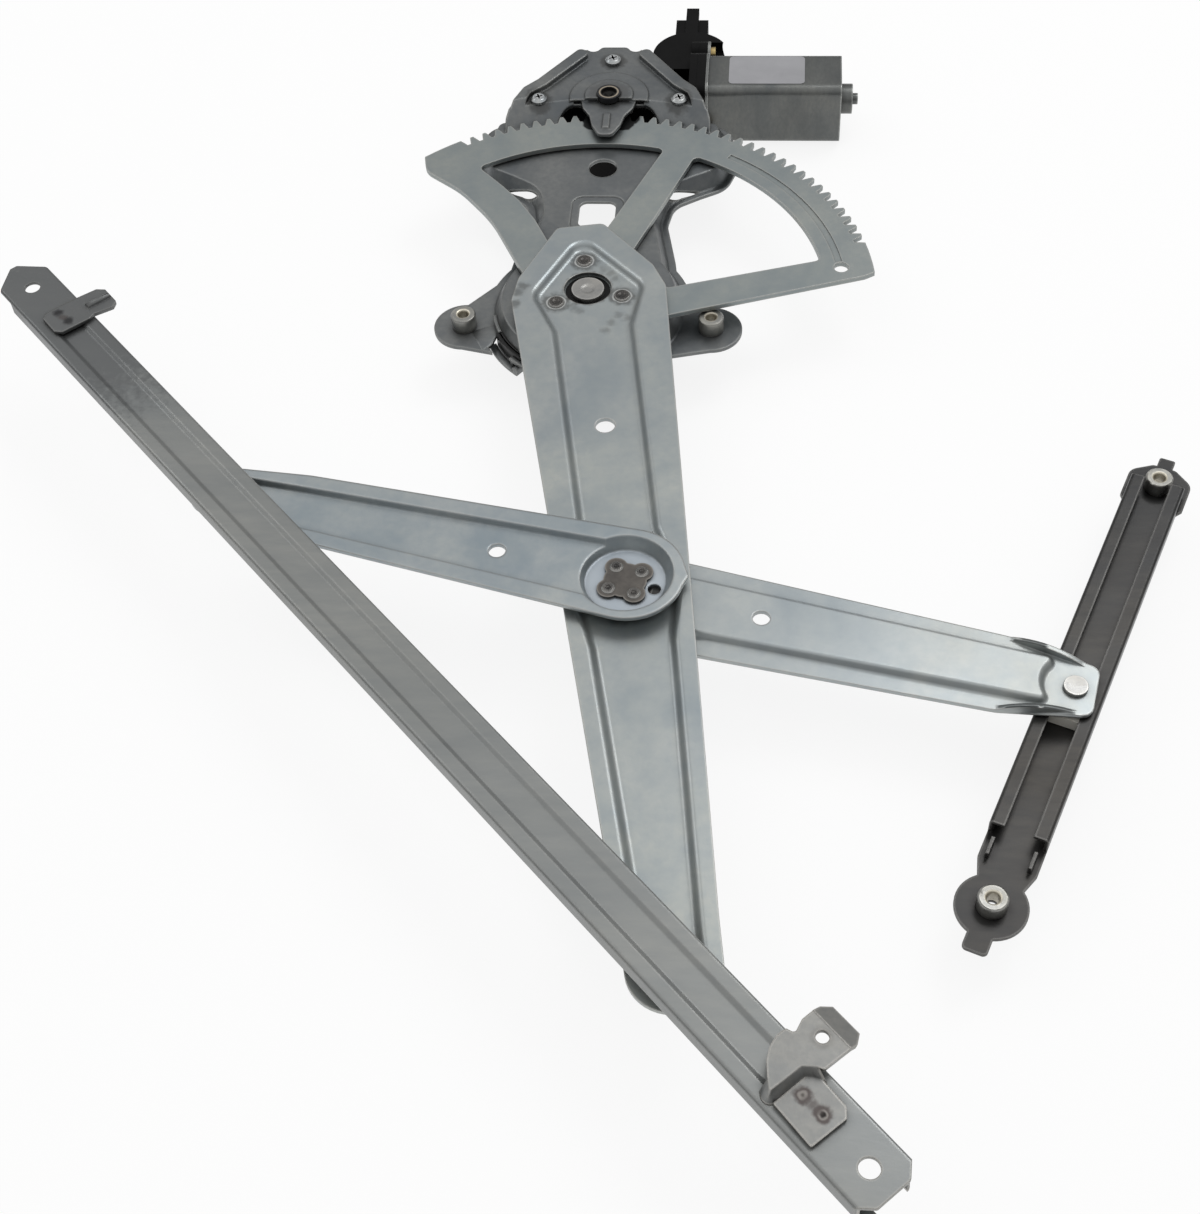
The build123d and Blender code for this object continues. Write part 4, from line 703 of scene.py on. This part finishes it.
def shown_white(tree, plain, glow, share, near=0.5, far=1.5):
    """Puts a glow over a shader for the camera and for mirror and clear rays: by the share given up to the
    near distance from the middle, and wholly from the far one."""
    rays = tree.nodes.new("ShaderNodeLightPath")
    either = tree.nodes.new("ShaderNodeMath")
    either.operation = "ADD"
    tree.links.new(rays.outputs["Is Camera Ray"], either.inputs[0])
    tree.links.new(rays.outputs["Is Glossy Ray"], either.inputs[1])
    any_ray = tree.nodes.new("ShaderNodeMath")
    any_ray.operation = "ADD"
    any_ray.use_clamp = True
    tree.links.new(either.outputs[0], any_ray.inputs[0])
    tree.links.new(rays.outputs["Is Transmission Ray"], any_ray.inputs[1])
    shown = tree.nodes.new("ShaderNodeMath")
    shown.operation = "MULTIPLY"
    place = tree.nodes.new("ShaderNodeTexCoord")
    away = tree.nodes.new("ShaderNodeVectorMath")
    away.operation = "LENGTH"
    tree.links.new(place.outputs["Object"], away.inputs[0])
    fade = tree.nodes.new("ShaderNodeMapRange")
    fade.inputs["From Min"].default_value = near
    fade.inputs["From Max"].default_value = far
    fade.inputs["To Min"].default_value = share
    fade.inputs["To Max"].default_value = 1.0
    tree.links.new(away.outputs["Value"], fade.inputs["Value"])
    tree.links.new(any_ray.outputs[0], shown.inputs[0])
    tree.links.new(fade.outputs["Result"], shown.inputs[1])
    mix = tree.nodes.new("ShaderNodeMixShader")
    tree.links.new(shown.outputs[0], mix.inputs["Fac"])
    tree.links.new(plain.outputs[0], mix.inputs[1])
    tree.links.new(glow.outputs[0], mix.inputs[2])
    return mix


white = bpy.data.materials.new("white paper")
white.use_nodes = True
tree = white.node_tree
shader = tree.nodes["Principled BSDF"]
shader.inputs["Base Color"].default_value = (0.95, 0.95, 0.95, 1.0)
shader.inputs["Roughness"].default_value = 0.9
glow = tree.nodes.new("ShaderNodeEmission")
glow.inputs["Strength"].default_value = 1.0
paper = shown_white(tree, shader, glow, share=0.86)
tree.links.new(paper.outputs[0], tree.nodes["Material Output"].inputs["Surface"])
paint(floor, white)
floor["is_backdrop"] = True

world = bpy.data.worlds.new("white room")
bpy.context.scene.world = world
world.use_nodes = True
tree = world.node_tree
room = tree.nodes["Background"]
room.inputs["Color"].default_value = (1.0, 1.0, 1.0, 1.0)
direction = tree.nodes.new("ShaderNodeTexCoord")
height = tree.nodes.new("ShaderNodeSeparateXYZ")
tree.links.new(direction.outputs["Generated"], height.inputs[0])
level_strength, overhead_strength = 0.16, 1.0
strength = ranged(tree, height.outputs["Z"], level_strength, overhead_strength)
tree.links.new(strength, room.inputs["Strength"])
backdrop = tree.nodes.new("ShaderNodeBackground")
backdrop.inputs["Color"].default_value = (1.0, 1.0, 1.0, 1.0)
backdrop.inputs["Strength"].default_value = 1.0
rays = tree.nodes.new("ShaderNodeLightPath")
seen = tree.nodes.new("ShaderNodeMixShader")
tree.links.new(rays.outputs["Is Camera Ray"], seen.inputs["Fac"])
tree.links.new(room.outputs[0], seen.inputs[1])
tree.links.new(backdrop.outputs[0], seen.inputs[2])
tree.links.new(seen.outputs[0], tree.nodes["World Output"].inputs["Surface"])

lamp_aim = Vector((0.0, -0.1, 0.0))
for name, place, size, power in (("lamp beyond the right side", (0.75, 0.75, 1.75), 0.9, 9.0),
                                 ("lamp over the far left", (-1.3, 0.6, 1.5), 0.8, 3.0)):
    lamp_data = bpy.data.lights.new(name, "AREA")
    lamp_data.size = size
    lamp_data.energy = power
    lamp = bpy.data.objects.new(name, lamp_data)
    lamp.location = place
    lamp.rotation_euler = (lamp_aim - Vector(place)).to_track_quat("-Z", "Y").to_euler()
    bpy.context.scene.collection.objects.link(lamp)


# Camera: fitted to the photograph, above the lower end of the arms, looking down along the plate. The lens
# comes from the focal length and the height of the frame, both in pixels of the photograph.
camera_place = Vector((0.0884, -0.6755, 0.6265))
heading = math.radians(7.87)
pitch = math.radians(51.0)
roll = math.radians(-4.68)
focal_px = 1877.0
frame_height_px = 1214.0
sensor_mm = 36.0
level = math.cos(pitch)
forward = Vector((-math.sin(heading) * level, math.cos(heading) * level, -math.sin(pitch)))
level_right = Vector((math.cos(heading), math.sin(heading), 0.0))
level_up = level_right.cross(forward)
right = level_right * math.cos(roll) + level_up * math.sin(roll)
up = level_up * math.cos(roll) - level_right * math.sin(roll)
camera_data = bpy.data.cameras.new("camera")
camera = bpy.data.objects.new("camera", camera_data)
camera.matrix_world = Matrix((
    (right.x, up.x, -forward.x, camera_place.x),
    (right.y, up.y, -forward.y, camera_place.y),
    (right.z, up.z, -forward.z, camera_place.z),
    (0.0, 0.0, 0.0, 1.0),
))
camera_data.sensor_fit = "AUTO"
camera_data.sensor_width = sensor_mm
camera_data.lens = sensor_mm * focal_px / frame_height_px
camera_data.clip_start = 0.01
bpy.context.scene.collection.objects.link(camera)
bpy.context.scene.camera = camera
bpy.context.scene.view_settings.view_transform = "Standard"

seen = [list(corner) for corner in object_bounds()]
